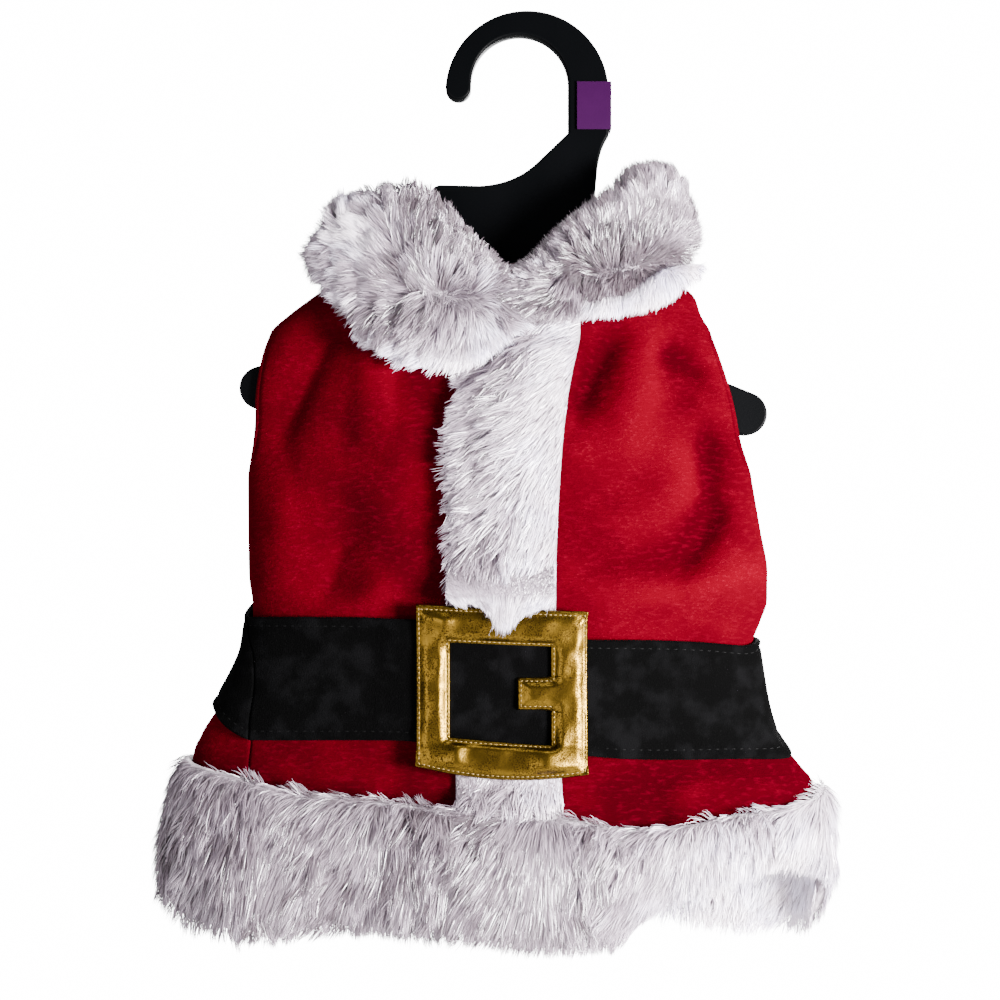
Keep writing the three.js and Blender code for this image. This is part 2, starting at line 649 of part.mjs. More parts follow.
// The marker wraps the stem's right edge as a channel, open to the left.
function marker() {
  const inner = HANGER_THICK / 2 + SEAM_GAP;
  const outer = inner + MARKER.wall;
  const edge = MARKER.right + SEAM_GAP;
  const channel = new THREE.Shape([
    new THREE.Vector2(MARKER.left, -outer),
    new THREE.Vector2(edge + MARKER.wall, -outer),
    new THREE.Vector2(edge + MARKER.wall, outer),
    new THREE.Vector2(MARKER.left, outer),
    new THREE.Vector2(MARKER.left, inner),
    new THREE.Vector2(edge, inner),
    new THREE.Vector2(edge, -inner),
    new THREE.Vector2(MARKER.left, -inner),
  ]);
  const length = MARKER.top - MARKER.bottom;
  const geometry = new THREE.ExtrudeGeometry(channel, { depth: length, bevelEnabled: false });
  return geometry.translate(0, 0, MARKER.bottom);
}

// ---- the whole ----

const velour = new THREE.MeshStandardMaterial({ color: 0xa00018, roughness: 0.75, metalness: 0 });
const fur = new THREE.MeshStandardMaterial({ color: 0xe4e2e6, roughness: 0.9, metalness: 0 });
const blackPlush = new THREE.MeshStandardMaterial({ color: 0x121214, roughness: 0.85, metalness: 0 });
const goldFoil = new THREE.MeshStandardMaterial({ color: 0xc8962a, roughness: 0.3, metalness: 0.9 });
const blackPlastic = new THREE.MeshStandardMaterial({ color: 0x0a0a0c, roughness: 0.35, metalness: 0 });
const purplePlastic = new THREE.MeshStandardMaterial({ color: 0x64236e, roughness: 0.45, metalness: 0 });

const coat = new THREE.Group();

function add(name, geometry, material) {
  const mesh = new THREE.Mesh(geometry, material);
  mesh.name = name;
  coat.add(mesh);
}

add("hanger", plate(hangerShape(), HANGER_THICK, HANGER_ROUND), blackPlastic);
add("size_marker", marker(), purplePlastic);
add("front_panel", panel(FRONT_COLUMNS, acrossFront, HEM_FRONT), velour);
add("back_panel", panel(BACK_COLUMNS, acrossBack, HEM_BACK), velour);
add("placket", strip(), fur);
add("belt_front", belt(FRONT_COLUMNS, acrossFront, BELT[0].turn, RIGHT_SIDE), blackPlush);
add("belt_back", belt(BACK_COLUMNS, acrossBack, RIGHT_SIDE, BELT.at(-1).turn), blackPlush);
add("buckle", buckle(), goldFoil);
add("collar_left", collar(COLLAR_LEFT, COLLAR_COLUMNS.left), fur);
add("collar_right", collar(COLLAR_RIGHT, COLLAR_COLUMNS.right), fur);
add("collar_back", collar(COLLAR_BACK, COLLAR_COLUMNS.back), fur);
add("hem_front", hemBand(FRONT_COLUMNS, acrossFront, HEM_FRONT), fur);
add("hem_back", hemBand(BACK_COLUMNS, acrossBack, HEM_BACK), fur);

export default coat;
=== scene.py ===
# %% [markdown]
# # A dog's santa coat on its hanger
# The imported model is the frame: it fixes every size and place. This lesson dresses it in real finishes:
# velour, long white pile, short black plush, gold foil cloth and moulded plastic.

import bpy
import numpy as np
from mathutils import Matrix, Vector


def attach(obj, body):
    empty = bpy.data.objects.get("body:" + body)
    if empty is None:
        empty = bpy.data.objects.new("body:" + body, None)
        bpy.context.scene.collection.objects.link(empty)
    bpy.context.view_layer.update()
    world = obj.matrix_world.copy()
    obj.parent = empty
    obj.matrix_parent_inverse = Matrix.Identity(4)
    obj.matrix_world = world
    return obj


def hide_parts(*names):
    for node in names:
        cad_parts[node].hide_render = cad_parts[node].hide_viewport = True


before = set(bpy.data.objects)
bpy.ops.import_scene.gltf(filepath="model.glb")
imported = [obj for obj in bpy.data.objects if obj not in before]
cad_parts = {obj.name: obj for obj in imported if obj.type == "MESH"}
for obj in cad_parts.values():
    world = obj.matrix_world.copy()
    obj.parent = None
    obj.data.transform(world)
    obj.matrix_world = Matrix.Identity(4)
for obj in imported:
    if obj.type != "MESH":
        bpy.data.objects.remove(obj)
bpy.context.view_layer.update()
print("nodes:", ", ".join(sorted(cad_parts)))

# %% [markdown]
# ## Tables read on a smooth curve
# A garment's outline is best kept as a few measured rows. A cubic through them that goes flat where the
# rows turn back never overshoots, so neighbouring pieces that share a row also share their edge.

# %% Tables
MM = 0.001  # the tables below are in millimetres


class Table:
    """Rows of numbers with named columns, the first of which is the key."""

    def __init__(self, names, rows):
        ordered = np.array(sorted(rows), float)
        self.key = ordered[:, 0]
        self.columns = {name: ordered[:, i] for i, name in enumerate(names.split())}

    def read(self, column, at):
        """The column at any key: a monotone cubic through the rows."""
        key, value = self.key, self.columns[column]
        secant = np.diff(value) / np.diff(key)
        before = np.concatenate([secant[:1], secant])
        after = np.concatenate([secant, secant[-1:]])
        same_way = before * after > 0
        total = np.where(same_way, before + after, 1)
        slope = np.where(same_way, 2 * before * after / total, 0)
        i = np.clip(np.searchsorted(key, at) - 1, 0, len(key) - 2)
        span = key[i + 1] - key[i]
        t = np.clip((at - key[i]) / span, 0, 1)
        t2, t3 = t * t, t**3
        return (
            (2 * t3 - 3 * t2 + 1) * value[i]
            + (t3 - 2 * t2 + t) * slope[i] * span
            + (3 * t2 - 2 * t3) * value[i + 1]
            + (t3 - t2) * slope[i + 1] * span
        )

    def blend(self, low, high, at, share):
        """Between two columns: the first where share is 0, the second where it is 1."""
        start = self.read(low, at)
        return start + (self.read(high, at) - start) * share


GIRTH = Table(
    "z left right front back",
    [
        (-41, -44, 40, 9, 9), (-54, -52, 46, 10, 9), (-62, -57, 50.5, 11, 10),
        (-75, -61, 52, 12, 11), (-90, -69, 57.5, 14, 12), (-97, -78, 64, 15, 13),
        (-103, -86, 66, 16, 14), (-110, -93.5, 70.3, 17, 15), (-121, -98.3, 75.5, 18, 15),
        (-138, -100.8, 80.5, 18, 15), (-156, -101.2, 84, 18, 15), (-164, -101.2, 85, 18, 15),
        (-182, -101, 88, 19, 15), (-198, -100.5, 90.5, 20, 16), (-208, -99.5, 90.5, 21, 16),
        (-216, -99.3, 88, 20, 16), (-225, -100.5, 85, 19, 16), (-236, -105, 86, 19, 16),
        (-247, -111.5, 88, 20, 17), (-258, -118.5, 92, 21, 18), (-266, -121, 100, 23, 20),
        (-277, -122, 107, 25, 22), (-300, -126, 108, 28, 24), (-340, -128, 109, 30, 26),
    ],
)
SIDE_SEAMS = Table(
    "z front_left front_right back_right back_left",
    [
        (-50, -90, 90, 90, 270), (-106, -90, 90, 90, 270), (-112, -81, 81, 112, 248),
        (-121, -78, 78, 128, 232), (-137, -78, 78, 134, 226), (-150, -79, 79, 128, 232),
        (-158, -83, 83, 110, 250), (-163, -90, 90, 90, 270), (-204, -90, 90, 90, 270),
        (-214, -84, 90, 90, 276), (-229, -70, 90, 90, 290), (-247, -58.5, 90, 90, 301.5),
        (-262, -53, 90, 90, 307), (-345, -51, 90, 90, 309),
    ],
)
NECKLINE = Table(
    "turn z",
    [
        (-60, -64), (-16, -66), (4, -84), (21, -93), (36, -84), (54, -66),
        (90, -64), (135, -65), (180, -76), (225, -65), (270, -64), (307, -66),
    ],
)
STRIP = Table(
    "z left right",
    [
        (-90, -24, 22), (-110, -25.5, 22), (-126, -26.5, 19), (-138, -28, 17), (-152, -32, 15.5),
        (-166, -31, 14.5), (-182, -30, 13.5), (-206, -30, 13), (-240, -30, 13), (-272, -27.5, 15),
        (-300, -27, 16),
    ],
)
BELT = Table(
    "turn top bottom",
    [
        (-90, -214, -258), (-45, -213, -257), (-25, -213, -260), (-4, -215.5, -262.5),
        (10, -220, -264), (45, -222, -265), (70, -224, -266), (90, -222, -260.5),
        (135, -220, -261), (180, -213, -258), (235, -207, -251), (262, -205, -248),
        (290, -214, -258),
    ],
)
HEM = Table(
    "turn top bottom pile",
    [
        (-53, -270, -326, 11), (-42, -274, -325.5, 12), (-22, -277, -322.5, 12), (-5, -280, -324, 12),
        (8, -282, -328, 12), (20, -286, -327.5, 12), (26, -287, -318, 11), (34, -286, -307, 10),
        (46, -283, -302, 10), (60, -282, -300, 10), (76, -279, -305, 10), (90, -276, -315, 10),
        (103, -278, -331, 12), (125, -280, -333, 12), (150, -281, -328.5, 12), (180, -280, -330, 12),
        (215, -277, -330, 12), (245, -271, -326, 12), (270, -265, -318, 9), (288, -267, -325, 10),
        (307, -270, -326, 11),
    ],
)
COLLAR_NAMES = "at low_turn low high_turn high pile"


def collar_table(rows):
    """A collar length's rows, keyed by how far along it each one is, from 0 to 1."""
    return Table(COLLAR_NAMES, [(i / (len(rows) - 1), *row) for i, row in enumerate(rows)])


COLLARS = {
    "collar_left": collar_table([
        (-141, -92, -141, -62, 11), (-116, -93, -116, -62, 13), (-96, -94, -100, -62.5, 17.5),
        (-78, -95, -88, -61.5, 18), (-56, -100, -78, -60, 15), (-38, -108, -56, -58, 15),
        (-28, -119, -42, -57, 14), (-21, -123.5, -34, -59, 13), (-15, -126, -27, -62.5, 12),
        (-8, -125.5, -20, -69, 11), (-1, -120.5, -10.5, -78.5, 10), (3, -115, -4, -84.5, 9),
        (7.5, -110, -0.5, -88, 7),
    ]),
    "collar_right": collar_table([
        (9, -109, 1, -88, 7), (17, -108, 6, -85, 9), (28, -106, 12, -79, 11),
        (36, -105, 22, -70, 13), (45, -103, 30, -64, 14), (54, -100, 39, -59, 15),
        (64, -97, 48, -54, 16), (76, -96, 62, -50, 15.5), (90, -94.5, 78, -49.5, 14.5),
        (104, -93, 92, -51.5, 14), (120, -92, 116, -57, 13), (141, -92, 141, -62, 11),
    ]),
    "collar_back": collar_table([
        (142, -92, 142, -62, 11), (180, -96, 180, -65, 10), (218, -92, 218, -62, 11),
    ]),
}
middle = np.array([0.0])
print("hem at the middle of the front:", HEM.read("top", middle), HEM.read("bottom", middle))

# %% [markdown]
# ## The coat's tube, its folds and its flares
# Laid on a hanger, a coat is a flattened tube. A turn round the girth and a height name every place on
# it, so each piece can be laid on the piece below by a lift along the cloth's own normal. Folds are soft
# troughs and ridges between two points, as the cloth hangs from shoulder, leg opening and belt.

# %% Folds
FOLDS = [  # front side: (from x z, to x z, half width, height)
    ((-72, -112), (-88, -143), 9, -3), ((-54, -124), (-47, -146), 10, 2),
    ((-62, -184), (-66, -204), 9, -2), ((-84, -170), (-90, -202), 9, 1.5),
    ((-46, -160), (-54, -198), 11, 1.5), ((36, -112), (24, -132), 9, -3),
    ((46, -110), (38, -146), 9, 2.5), ((52, -120), (60, -130), 9, -2.5),
    ((70, -152), (66, -178), 9, -3), ((66, -182), (56, -196), 9, -2.5),
    ((55, -158), (62, -170), 10, 2.5), ((74, -200), (44, -209), 8, 3),
    ((58, -278), (84, -268), 8, 3),
]
BACK_FOLDS = [
    ((-58, -120), (-50, -170), 12, -3), ((-20, -110), (-12, -190), 13, 2.5),
    ((24, -100), (30, -180), 12, -3), ((58, -170), (50, -205), 11, 3),
    ((-74, -176), (-70, -206), 10, 2.5),
]
CREASES = [  # smaller ones that only the cloth itself shows
    ((-68, -108), (-84, -142), 3.2, -1.0), ((-46, -126), (-46, -147), 2.2, -0.9),
    ((-56, -122), (-58, -150), 4, 0.9), ((-88, -148), (-80, -176), 4, -0.8),
    ((-66, -190), (-72, -209), 3, -1.0), ((-40, -190), (-58, -210), 4, 0.9),
    ((-52, -205), (-78, -211), 3, 0.8), ((-62, -150), (-40, -170), 5, -0.6),
    ((30, -118), (20, -136), 4, -2.0), ((24, -136), (16, -150), 4, -0.7),
    ((53, -118), (64, -124), 4, -1.8), ((58, -128), (70, -138), 4, 0.8),
    ((67, -150), (68, -172), 5, -2.2), ((72, -176), (62, -192), 4, -1.8),
    ((30, -168), (52, -160), 5, -0.7), ((20, -182), (46, -176), 5, 0.6),
    ((24, -196), (52, -190), 4, -0.7), ((78, -201), (47, -212), 4, -2.2),
    ((84, -197), (62, -203), 4, 1.2), ((82, -208), (66, -213), 3, 0.9),
    ((50, -283), (84, -271), 4, -2.0), ((72, -270), (96, -276), 4, 1.0),
    ((28, -272), (56, -268), 4, -0.7), ((-60, -266), (-58, -276), 5, 0.8),
    ((-82, -264), (-76, -276), 4, -0.9), ((-44, -264), (-47, -280), 4, -0.7),
]
BACK_CREASES = [
    ((-64, -118), (-52, -160), 4, -1.2), ((-40, -112), (-36, -150), 5, 0.8),
    ((-8, -104), (-4, -150), 4, -0.9), ((18, -104), (26, -160), 3.6, -1.2),
    ((46, -118), (40, -170), 5, 0.9), ((66, -168), (54, -200), 3.6, -1.2),
    ((-80, -172), (-66, -206), 4, -1.0), ((-30, -186), (-50, -206), 5, 0.9),
    ((4, -188), (24, -204), 5, -0.9), ((-60, -266), (-50, -280), 4, 0.9),
    ((-10, -266), (-4, -282), 5, -0.9), ((46, -266), (40, -280), 4, 0.9),
]
FLARES = [  # (turn, half width in degrees, height): the skirt's waves, full at the hem
    (-47, 10, 4), (-27, 10, -3), (-4, 12, 5), (19, 10, -3), (38, 10, 3), (60, 10, -3), (112, 11, 4),
    (137, 10, -3), (160, 12, 5), (184, 10, -3), (206, 11, 4), (232, 10, -3), (256, 11, 3), (287, 10, -2),
]
FLARE_TOP, FLARE_FULL = -262, -325
COLLAR_HOLDS = (96, 116)  # folds start below these depths, counted down from the hook
BELT_HOLDS = (200, 212, 266, 276)
FULLNESS = 0.8  # 1 would make each girth an ellipse


def smoothstep(low, high, x):
    t = np.clip((x - low) / (high - low), 0, 1)
    return t * t * (3 - 2 * t)


def hump(x, middle, wide):
    """1 at the middle, falling off smoothly to either side."""
    return np.exp(-(((x - middle) / wide) ** 2))


def unit(vectors):
    return vectors / np.maximum(np.linalg.norm(vectors, axis=-1, keepdims=True), 1e-9)


def off_line(x, z, start, end):
    (ax, az), (bx, bz) = start, end
    dx, dz = bx - ax, bz - az
    t = np.clip(((x - ax) * dx + (z - az) * dz) / (dx * dx + dz * dz), 0, 1)
    return np.hypot(x - ax - t * dx, z - az - t * dz)


def on_girth(turn, z):
    """The point of the coat's outer face at a turn and a height."""
    left, right = GIRTH.read("left", z), GIRTH.read("right", z)
    towards = np.cos(np.radians(turn))
    depth = np.where(towards > 0, GIRTH.read("front", z), GIRTH.read("back", z))
    x = (left + right) / 2 + (right - left) / 2 * np.sin(np.radians(turn))
    y = -np.sign(towards) * depth * np.abs(towards) ** FULLNESS
    return np.stack([x, y, z + 0 * turn], -1)


def turn_at(x, z):
    """The turn of a point of the front that is x to the right."""
    left, right = GIRTH.read("left", z), GIRTH.read("right", z)
    return np.degrees(np.arcsin(np.clip((2 * x - left - right) / (right - left), -1, 1)))


def relief(turn, z, creased):
    """How far folds, creases and flares move the cloth out."""
    x = on_girth(turn, z)[..., 0]
    front = np.cos(np.radians(turn)) > 0
    free = smoothstep(*COLLAR_HOLDS, -z)
    free = free * (1 - smoothstep(*BELT_HOLDS[:2], -z) + smoothstep(*BELT_HOLDS[2:], -z))
    out = np.zeros(np.broadcast(turn, z).shape)
    sides = [(front, FOLDS), (~front, BACK_FOLDS)]
    if creased:
        sides += [(front, CREASES), (~front, BACK_CREASES)]
    for side, folds in sides:
        for start, end, wide, high in folds:
            out += side * free * high * hump(off_line(x, z, start, end), 0, wide)
    flared = smoothstep(-FLARE_TOP, -FLARE_FULL, -z)
    for at, wide, high in FLARES:
        out += high * flared * hump((turn - at + 180) % 360, 180, wide)
    return out


def facing(turn, z):
    """The tube's normal, pointing out of the coat."""
    step = 0.5
    across = on_girth(turn + step, z) - on_girth(turn - step, z)
    up = on_girth(turn, z + step) - on_girth(turn, z - step)
    return unit(np.cross(across, up))


def on_coat(turn, z, lift, creased=False):
    """Points `lift` outside the cloth's outer face."""
    turn, z = np.broadcast_arrays(np.asarray(turn, float), np.asarray(z, float))
    return on_girth(turn, z) + facing(turn, z) * (lift + relief(turn, z, creased))[..., None]


STRIP_PRESSED, SEAM_GAP = 1.8, 0.3
BESIDE_STRIP = (6, 28)  # what lies over the strip comes down to the cloth between these


def clear_of_strip(turn, z):
    """The lift that a piece needs where it passes over the fur strip."""
    x = on_girth(turn, z)[..., 0]
    beside = np.maximum(np.maximum(STRIP.read("left", z) - x, x - STRIP.read("right", z)), 0)
    near = (1 - smoothstep(*BESIDE_STRIP, beside)) * (np.cos(np.radians(turn)) >= 0)
    return near * (STRIP_PRESSED + SEAM_GAP)


chest = on_coat(np.array([-90.0, 0, 90, 180]), np.array([-180.0] * 4), 0)
print("left, front, right and back of the chest:", chest.round(1).tolist())

# %% [markdown]
# ## From grids of points to meshes
# Cloth is a closed shell: an outer and an inner grid that meet in a rounded edge. Grids get a few extra
# lines close to their edges, where the rounding needs them. Arrays go straight into Blender's mesh
# data, because that is many times faster than adding one vertex after another.

# %% Mesh helpers
def make_object(name, points, faces, tone=None):
    """A smooth-shaded mesh object from millimetre points and lists of same-sided faces."""
    mesh = bpy.data.meshes.new(name)
    mesh.vertices.add(len(points))
    mesh.vertices.foreach_set("co", (np.asarray(points, np.float32) * MM).ravel())
    corners = np.concatenate([np.asarray(f).ravel() for f in faces]).astype(np.int32)
    sides = np.concatenate([np.full(len(f), np.asarray(f).shape[1]) for f in faces])
    mesh.loops.add(len(corners))
    mesh.loops.foreach_set("vertex_index", corners)
    mesh.polygons.add(len(sides))
    mesh.polygons.foreach_set("loop_start", (np.cumsum(sides) - sides).astype(np.int32))
    mesh.polygons.foreach_set("use_smooth", np.ones(len(sides), bool))
    if tone is not None:
        mesh.attributes.new("tone", "FLOAT", "POINT").data.foreach_set("value", tone.astype(np.float32))
    mesh.update(calc_edges=True)
    mesh.validate()
    made = bpy.data.objects.new(name, mesh)
    bpy.context.scene.collection.objects.link(made)
    return made


def edged(count, length, near):
    """Places from 0 to 1: evenly spaced, with extra ones within `near` mm of either end."""
    close = np.array([0, 0.04, 0.16, 0.36, 0.64, 1.0]) * near / length
    inner = np.linspace(close[-1], 1 - close[-1], count)
    return np.concatenate([close[:-1], inner, 1 - close[-2::-1]])


def grid_faces(rows, columns, start=0):
    at = start + np.arange(rows * columns).reshape(rows, columns)
    return np.stack([at[:-1, :-1], at[:-1, 1:], at[1:, 1:], at[1:, :-1]], -1).reshape(-1, 4)


def border(rows, columns):
    """The grid's border indices, once round."""
    at = np.arange(rows * columns).reshape(rows, columns)
    return np.concatenate([at[0, :-1], at[:-1, -1], at[-1, :0:-1], at[:0:-1, 0]])


def edge_distance(points):
    """How far each grid point is from the nearest border, measured over the cloth."""
    along = np.linalg.norm(np.diff(points, axis=0), axis=-1)
    across = np.linalg.norm(np.diff(points, axis=1), axis=-1)
    down = np.concatenate([np.zeros((1, points.shape[1])), np.cumsum(along, 0)])
    right = np.concatenate([np.zeros((points.shape[0], 1)), np.cumsum(across, 1)], 1)
    return np.minimum(np.minimum(down, down[-1:] - down), np.minimum(right, right[:, -1:] - right))


def rounding(distance, radius):
    """1 away from an edge, and a quarter circle down to 0 at it."""
    return np.sqrt(np.clip(1 - (1 - np.clip(distance / radius, 0, 1)) ** 2, 0, 1))


def grid_normals(points):
    return unit(np.cross(np.gradient(points, axis=1), np.gradient(points, axis=0)))


def closed(name, outer, inner, tone=None):
    """A closed shell of two grids that meet halfway along their borders; tone is a grid of shades."""
    rows, columns = outer.shape[:2]
    ring = border(rows, columns)
    flat_outer, flat_inner = outer.reshape(-1, 3).copy(), inner.reshape(-1, 3)
    flat_outer[ring] = (flat_outer[ring] + flat_inner[ring]) / 2
    inside = np.setdiff1d(np.arange(rows * columns), ring)
    back = np.arange(rows * columns)
    back[inside] = rows * columns + np.arange(len(inside))
    faces = grid_faces(rows, columns)
    points = np.concatenate([flat_outer, flat_inner[inside]])
    if tone is not None:
        tone = np.concatenate([tone.ravel(), tone.ravel()[inside]])
    return make_object(name, points, [faces, back[faces][:, ::-1]], tone)


def shell(name, middle, thick, tone=None):
    """A closed shell `thick` mm through about a grid of middle points, with rounded edges."""
    half = thick / 2 * rounding(edge_distance(middle), thick / 2)
    out = grid_normals(middle) * half[..., None]
    return closed(name, middle + out, middle - out, tone)


def flat_area(points):
    """The area of a grid, in square metres."""
    a = points[:-1, :-1] - points[1:, 1:]
    b = points[:-1, 1:] - points[1:, :-1]
    return np.linalg.norm(np.cross(a, b), axis=-1).sum() / 2 * MM * MM


print("a rounded edge 0.5 mm in, on a 1 mm radius:", rounding(np.array([0.5]), 1.0).round(3))

# %% [markdown]
# ## Shader maths as plain expressions
# A wrapped socket takes part in Python sums, and each sum adds one Math node. Colours are mixed by a Mix
# node, because a Math node would turn them grey.

# %% Shader helpers
class Val:
    """A node's output socket that can be added, multiplied and compared as a number."""

    def __init__(self, made, socket):
        self.made, self.socket = made, socket

    def _math(self, operation, *values):
        return self.made.node("ShaderNodeMath", {"operation": operation}, dict(enumerate(values)))

    def __add__(self, other):
        return self._math("ADD", self, other)

    __radd__ = __add__

    def __sub__(self, other):
        return self._math("SUBTRACT", self, other)

    def __rsub__(self, other):
        return self._math("SUBTRACT", other, self)

    def __mul__(self, other):
        return self._math("MULTIPLY", self, other)

    __rmul__ = __mul__

    def between(self, low, high):
        """0 below low, 1 above high and smooth between them."""
        limits = {"Value": self, "From Min": low, "From Max": high}
        return self.made.node("ShaderNodeMapRange", {"interpolation_type": "SMOOTHSTEP"}, limits)


class Finish:
    """A material with one Principled shader."""

    def __init__(self, name, constants):
        self.material = bpy.data.materials.new(name)
        self.material.use_nodes = True
        self.tree = self.material.node_tree
        self.tree.nodes.clear()
        self.shader = self.tree.nodes.new("ShaderNodeBsdfPrincipled")
        output = self.tree.nodes.new("ShaderNodeOutputMaterial")
        self.tree.links.new(self.shader.outputs[0], output.inputs["Surface"])
        for socket, value in constants.items():
            self.shader.inputs[socket].default_value = value

    def node(self, kind, settings=None, values=None, output=0):
        made = self.tree.nodes.new(kind)
        for name, value in (settings or {}).items():
            setattr(made, name, value)
        for name, value in (values or {}).items():
            if isinstance(value, Val):
                self.tree.links.new(value.socket, made.inputs[name])
            else:
                made.inputs[name].default_value = value
        return Val(self, made.outputs[output])

    def feed(self, socket, value):
        self.tree.links.new(value.socket, self.shader.inputs[socket])

    def place(self, scale=(1, 1, 1), turn=(0, 0, 0)):
        """Where a point of the surface is, in metres, stretched by scale."""
        spot = self.node("ShaderNodeTexCoord", output="Object")
        return self.node("ShaderNodeMapping", None, {"Vector": spot, "Rotation": turn, "Scale": scale})

    def noise(self, size, detail=2.0, scale=(1, 1, 1), turn=(0, 0, 0)):
        """Smooth noise from 0 to 1 whose features are about `size` mm."""
        values = {"Vector": self.place(scale, turn), "Scale": 1 / (size * MM), "Detail": detail}
        return self.node("ShaderNodeTexNoise", None, values)

    def mix(self, share, a, b):
        """Colour a where share is 0, and b where it is 1."""
        made = self.tree.nodes.new("ShaderNodeMix")
        made.data_type = "RGBA"
        for index, value in ((0, share), (6, a), (7, b)):
            if isinstance(value, Val):
                self.tree.links.new(value.socket, made.inputs[index])
            else:
                made.inputs[index].default_value = (*value, 1) if index else value
        return Val(self, made.outputs[2])

    def colour(self, share, a, b):
        """The base colour: a where share is 0, and b where it is 1."""
        self.feed("Base Color", self.mix(share, a, b))

    def bump(self, height, depth, under=None):
        """A relief `depth` mm high where height goes from 0 to 1."""
        values = {"Height": height, "Distance": depth * MM, "Strength": 1.0}
        if under is not None:
            values["Normal"] = under
        return self.node("ShaderNodeBump", None, values)


# %% [markdown]
# ## Camera, floor and light
# The coat is seen straight from the front, from about half a metre. A strong lamp stands close by on
# the right, and a wider and weaker one on the left, so the left side falls off into a deeper red. Low,
# top and back lamps and the world give the rest. The floor is far below, because the coat hangs.

# %% Camera
VIEW_SQUARE = 0.37  # how much of the plane of the hanger the camera sees, in metres
VIEW_DISTANCE = 0.56
VIEW_CENTRE = (-0.00814, -0.1713)
SENSOR = 36

camera_data = bpy.data.cameras.new("camera")
camera_data.sensor_width = SENSOR
camera_data.lens = SENSOR * VIEW_DISTANCE / VIEW_SQUARE
camera = bpy.data.objects.new("camera", camera_data)
camera.location = (VIEW_CENTRE[0], -VIEW_DISTANCE, VIEW_CENTRE[1])
camera.rotation_euler = (np.pi / 2, 0, 0)
bpy.context.scene.collection.objects.link(camera)
bpy.context.scene.camera = camera
print("lens:", round(camera_data.lens, 1), "mm")

# %% Floor and world
FLOOR_Z = -0.72
FLOOR_RADIUS = 950  # mm
FLOOR_SIDES = 96

around = np.linspace(0, 2 * np.pi, FLOOR_SIDES, endpoint=False)
rim = np.stack([np.cos(around), np.sin(around), 0 * around], -1) * FLOOR_RADIUS
rim[:, 2] = FLOOR_Z / MM
floor = make_object("floor", rim, [np.arange(FLOOR_SIDES)[None]])
pale = Finish("floor_paint", {"Roughness": 0.9})
pale.colour(pale.noise(60), (0.80, 0.80, 0.79), (0.84, 0.84, 0.83))
floor.data.materials.append(pale.material)

BACKGROUND_SEEN = 16
BACKGROUND_LIGHT = 0.35
world = bpy.data.worlds.new("studio")
bpy.context.scene.world = world
world.use_nodes = True
sky = world.node_tree
sky.nodes.clear()
seen, lit = (sky.nodes.new("ShaderNodeBackground") for _ in range(2))
seen.inputs["Color"].default_value = (1, 1, 1, 1)
seen.inputs["Strength"].default_value = BACKGROUND_SEEN
lit.inputs["Color"].default_value = (0.93, 0.94, 1, 1)
lit.inputs["Strength"].default_value = BACKGROUND_LIGHT
path = sky.nodes.new("ShaderNodeLightPath")
choose = sky.nodes.new("ShaderNodeMixShader")
sky.links.new(path.outputs["Is Camera Ray"], choose.inputs[0])
sky.links.new(lit.outputs[0], choose.inputs[1])
sky.links.new(seen.outputs[0], choose.inputs[2])
sky.links.new(choose.outputs[0], sky.nodes.new("ShaderNodeOutputWorld").inputs[0])
print("floor at", FLOOR_Z, "m; world nodes:", len(sky.nodes))

# %% Lights
AIM = Vector((0, 0, -0.19))


def softbox(name, place, size, power, colour):
    data = bpy.data.lights.new(name, "AREA")
    data.shape = "SQUARE"
    data.size, data.energy, data.color = size, power, colour
    made = bpy.data.objects.new(name, data)
    made.location = place
    made.rotation_euler = (AIM - Vector(place)).to_track_quat("-Z", "Y").to_euler()
    bpy.context.scene.collection.objects.link(made)


softbox("key", (0.50, -0.45, -0.22), 0.22, 54, (1, 0.97, 0.985))
softbox("fill", (-0.7, -0.9, -0.3), 0.8, 14, (0.97, 0.93, 1))
softbox("top", (0.1, -0.2, 0.75), 0.5, 7, (1, 1, 1))
softbox("back", (0.3, 0.95, 0.25), 0.8, 52, (1, 1, 1))
softbox("low", (0.35, -0.62, -0.6), 0.5, 2.5, (1, 0.93, 1))

# %% [markdown]
# ## Crimson velour
# Velour is a knit with a short nap. Three things show it: fine level lines of the knit, patches where
# the nap lies another way and looks lighter or darker, and a soft sheen towards grazing edges. The
# sheen is a constant of the shader, and the rest is noise stretched along the knit. Each point of a
# panel also brings a painted shade, which darkens the red where shade falls.

# %% Velour finish
KNIT_PITCH = 1.15  # mm from one knit course to the next

velour = Finish(
    "crimson_velour",
    {
        "Roughness": 0.9, "Sheen Weight": 0.1, "Sheen Roughness": 0.35, "Sheen Tint": (1, 0.0, 0.05, 1),
        "Specular IOR Level": 0.0,
    },
)
nap = velour.noise(15, 3.0, turn=(0.3, 0.2, 0.5))
speckle = velour.noise(0.55, 2.0, scale=(0.5, 0.5, 1))
threads = velour.noise(KNIT_PITCH, 2.0, scale=(0.35, 0.35, 1))
# the painted shade that each point of a panel carries, mixed below with patches of the nap
shade = velour.node("ShaderNodeAttribute", {"attribute_name": "tone"}, output="Fac")
nap_with_painted_shade = (nap.between(0.3, 0.7) * 0.2 - 0.1 + shade).between(0, 1)
ground = velour.mix(nap_with_painted_shade, (0.017, 0.0, 0.001), (0.047, 0.0, 0.0023))
lined = velour.mix(threads.between(0.48, 0.75) * 0.26, ground, (0.075, 0.0, 0.005))
flecks = speckle.between(0.56, 0.72) * nap.between(0.25, 0.65) * shade
velour.colour(flecks * 0.4, lined, (0.12, 0.002, 0.010))
pile_bump = velour.bump(speckle, 0.16)
velour.feed("Normal", velour.bump(threads, 0.36, pile_bump))
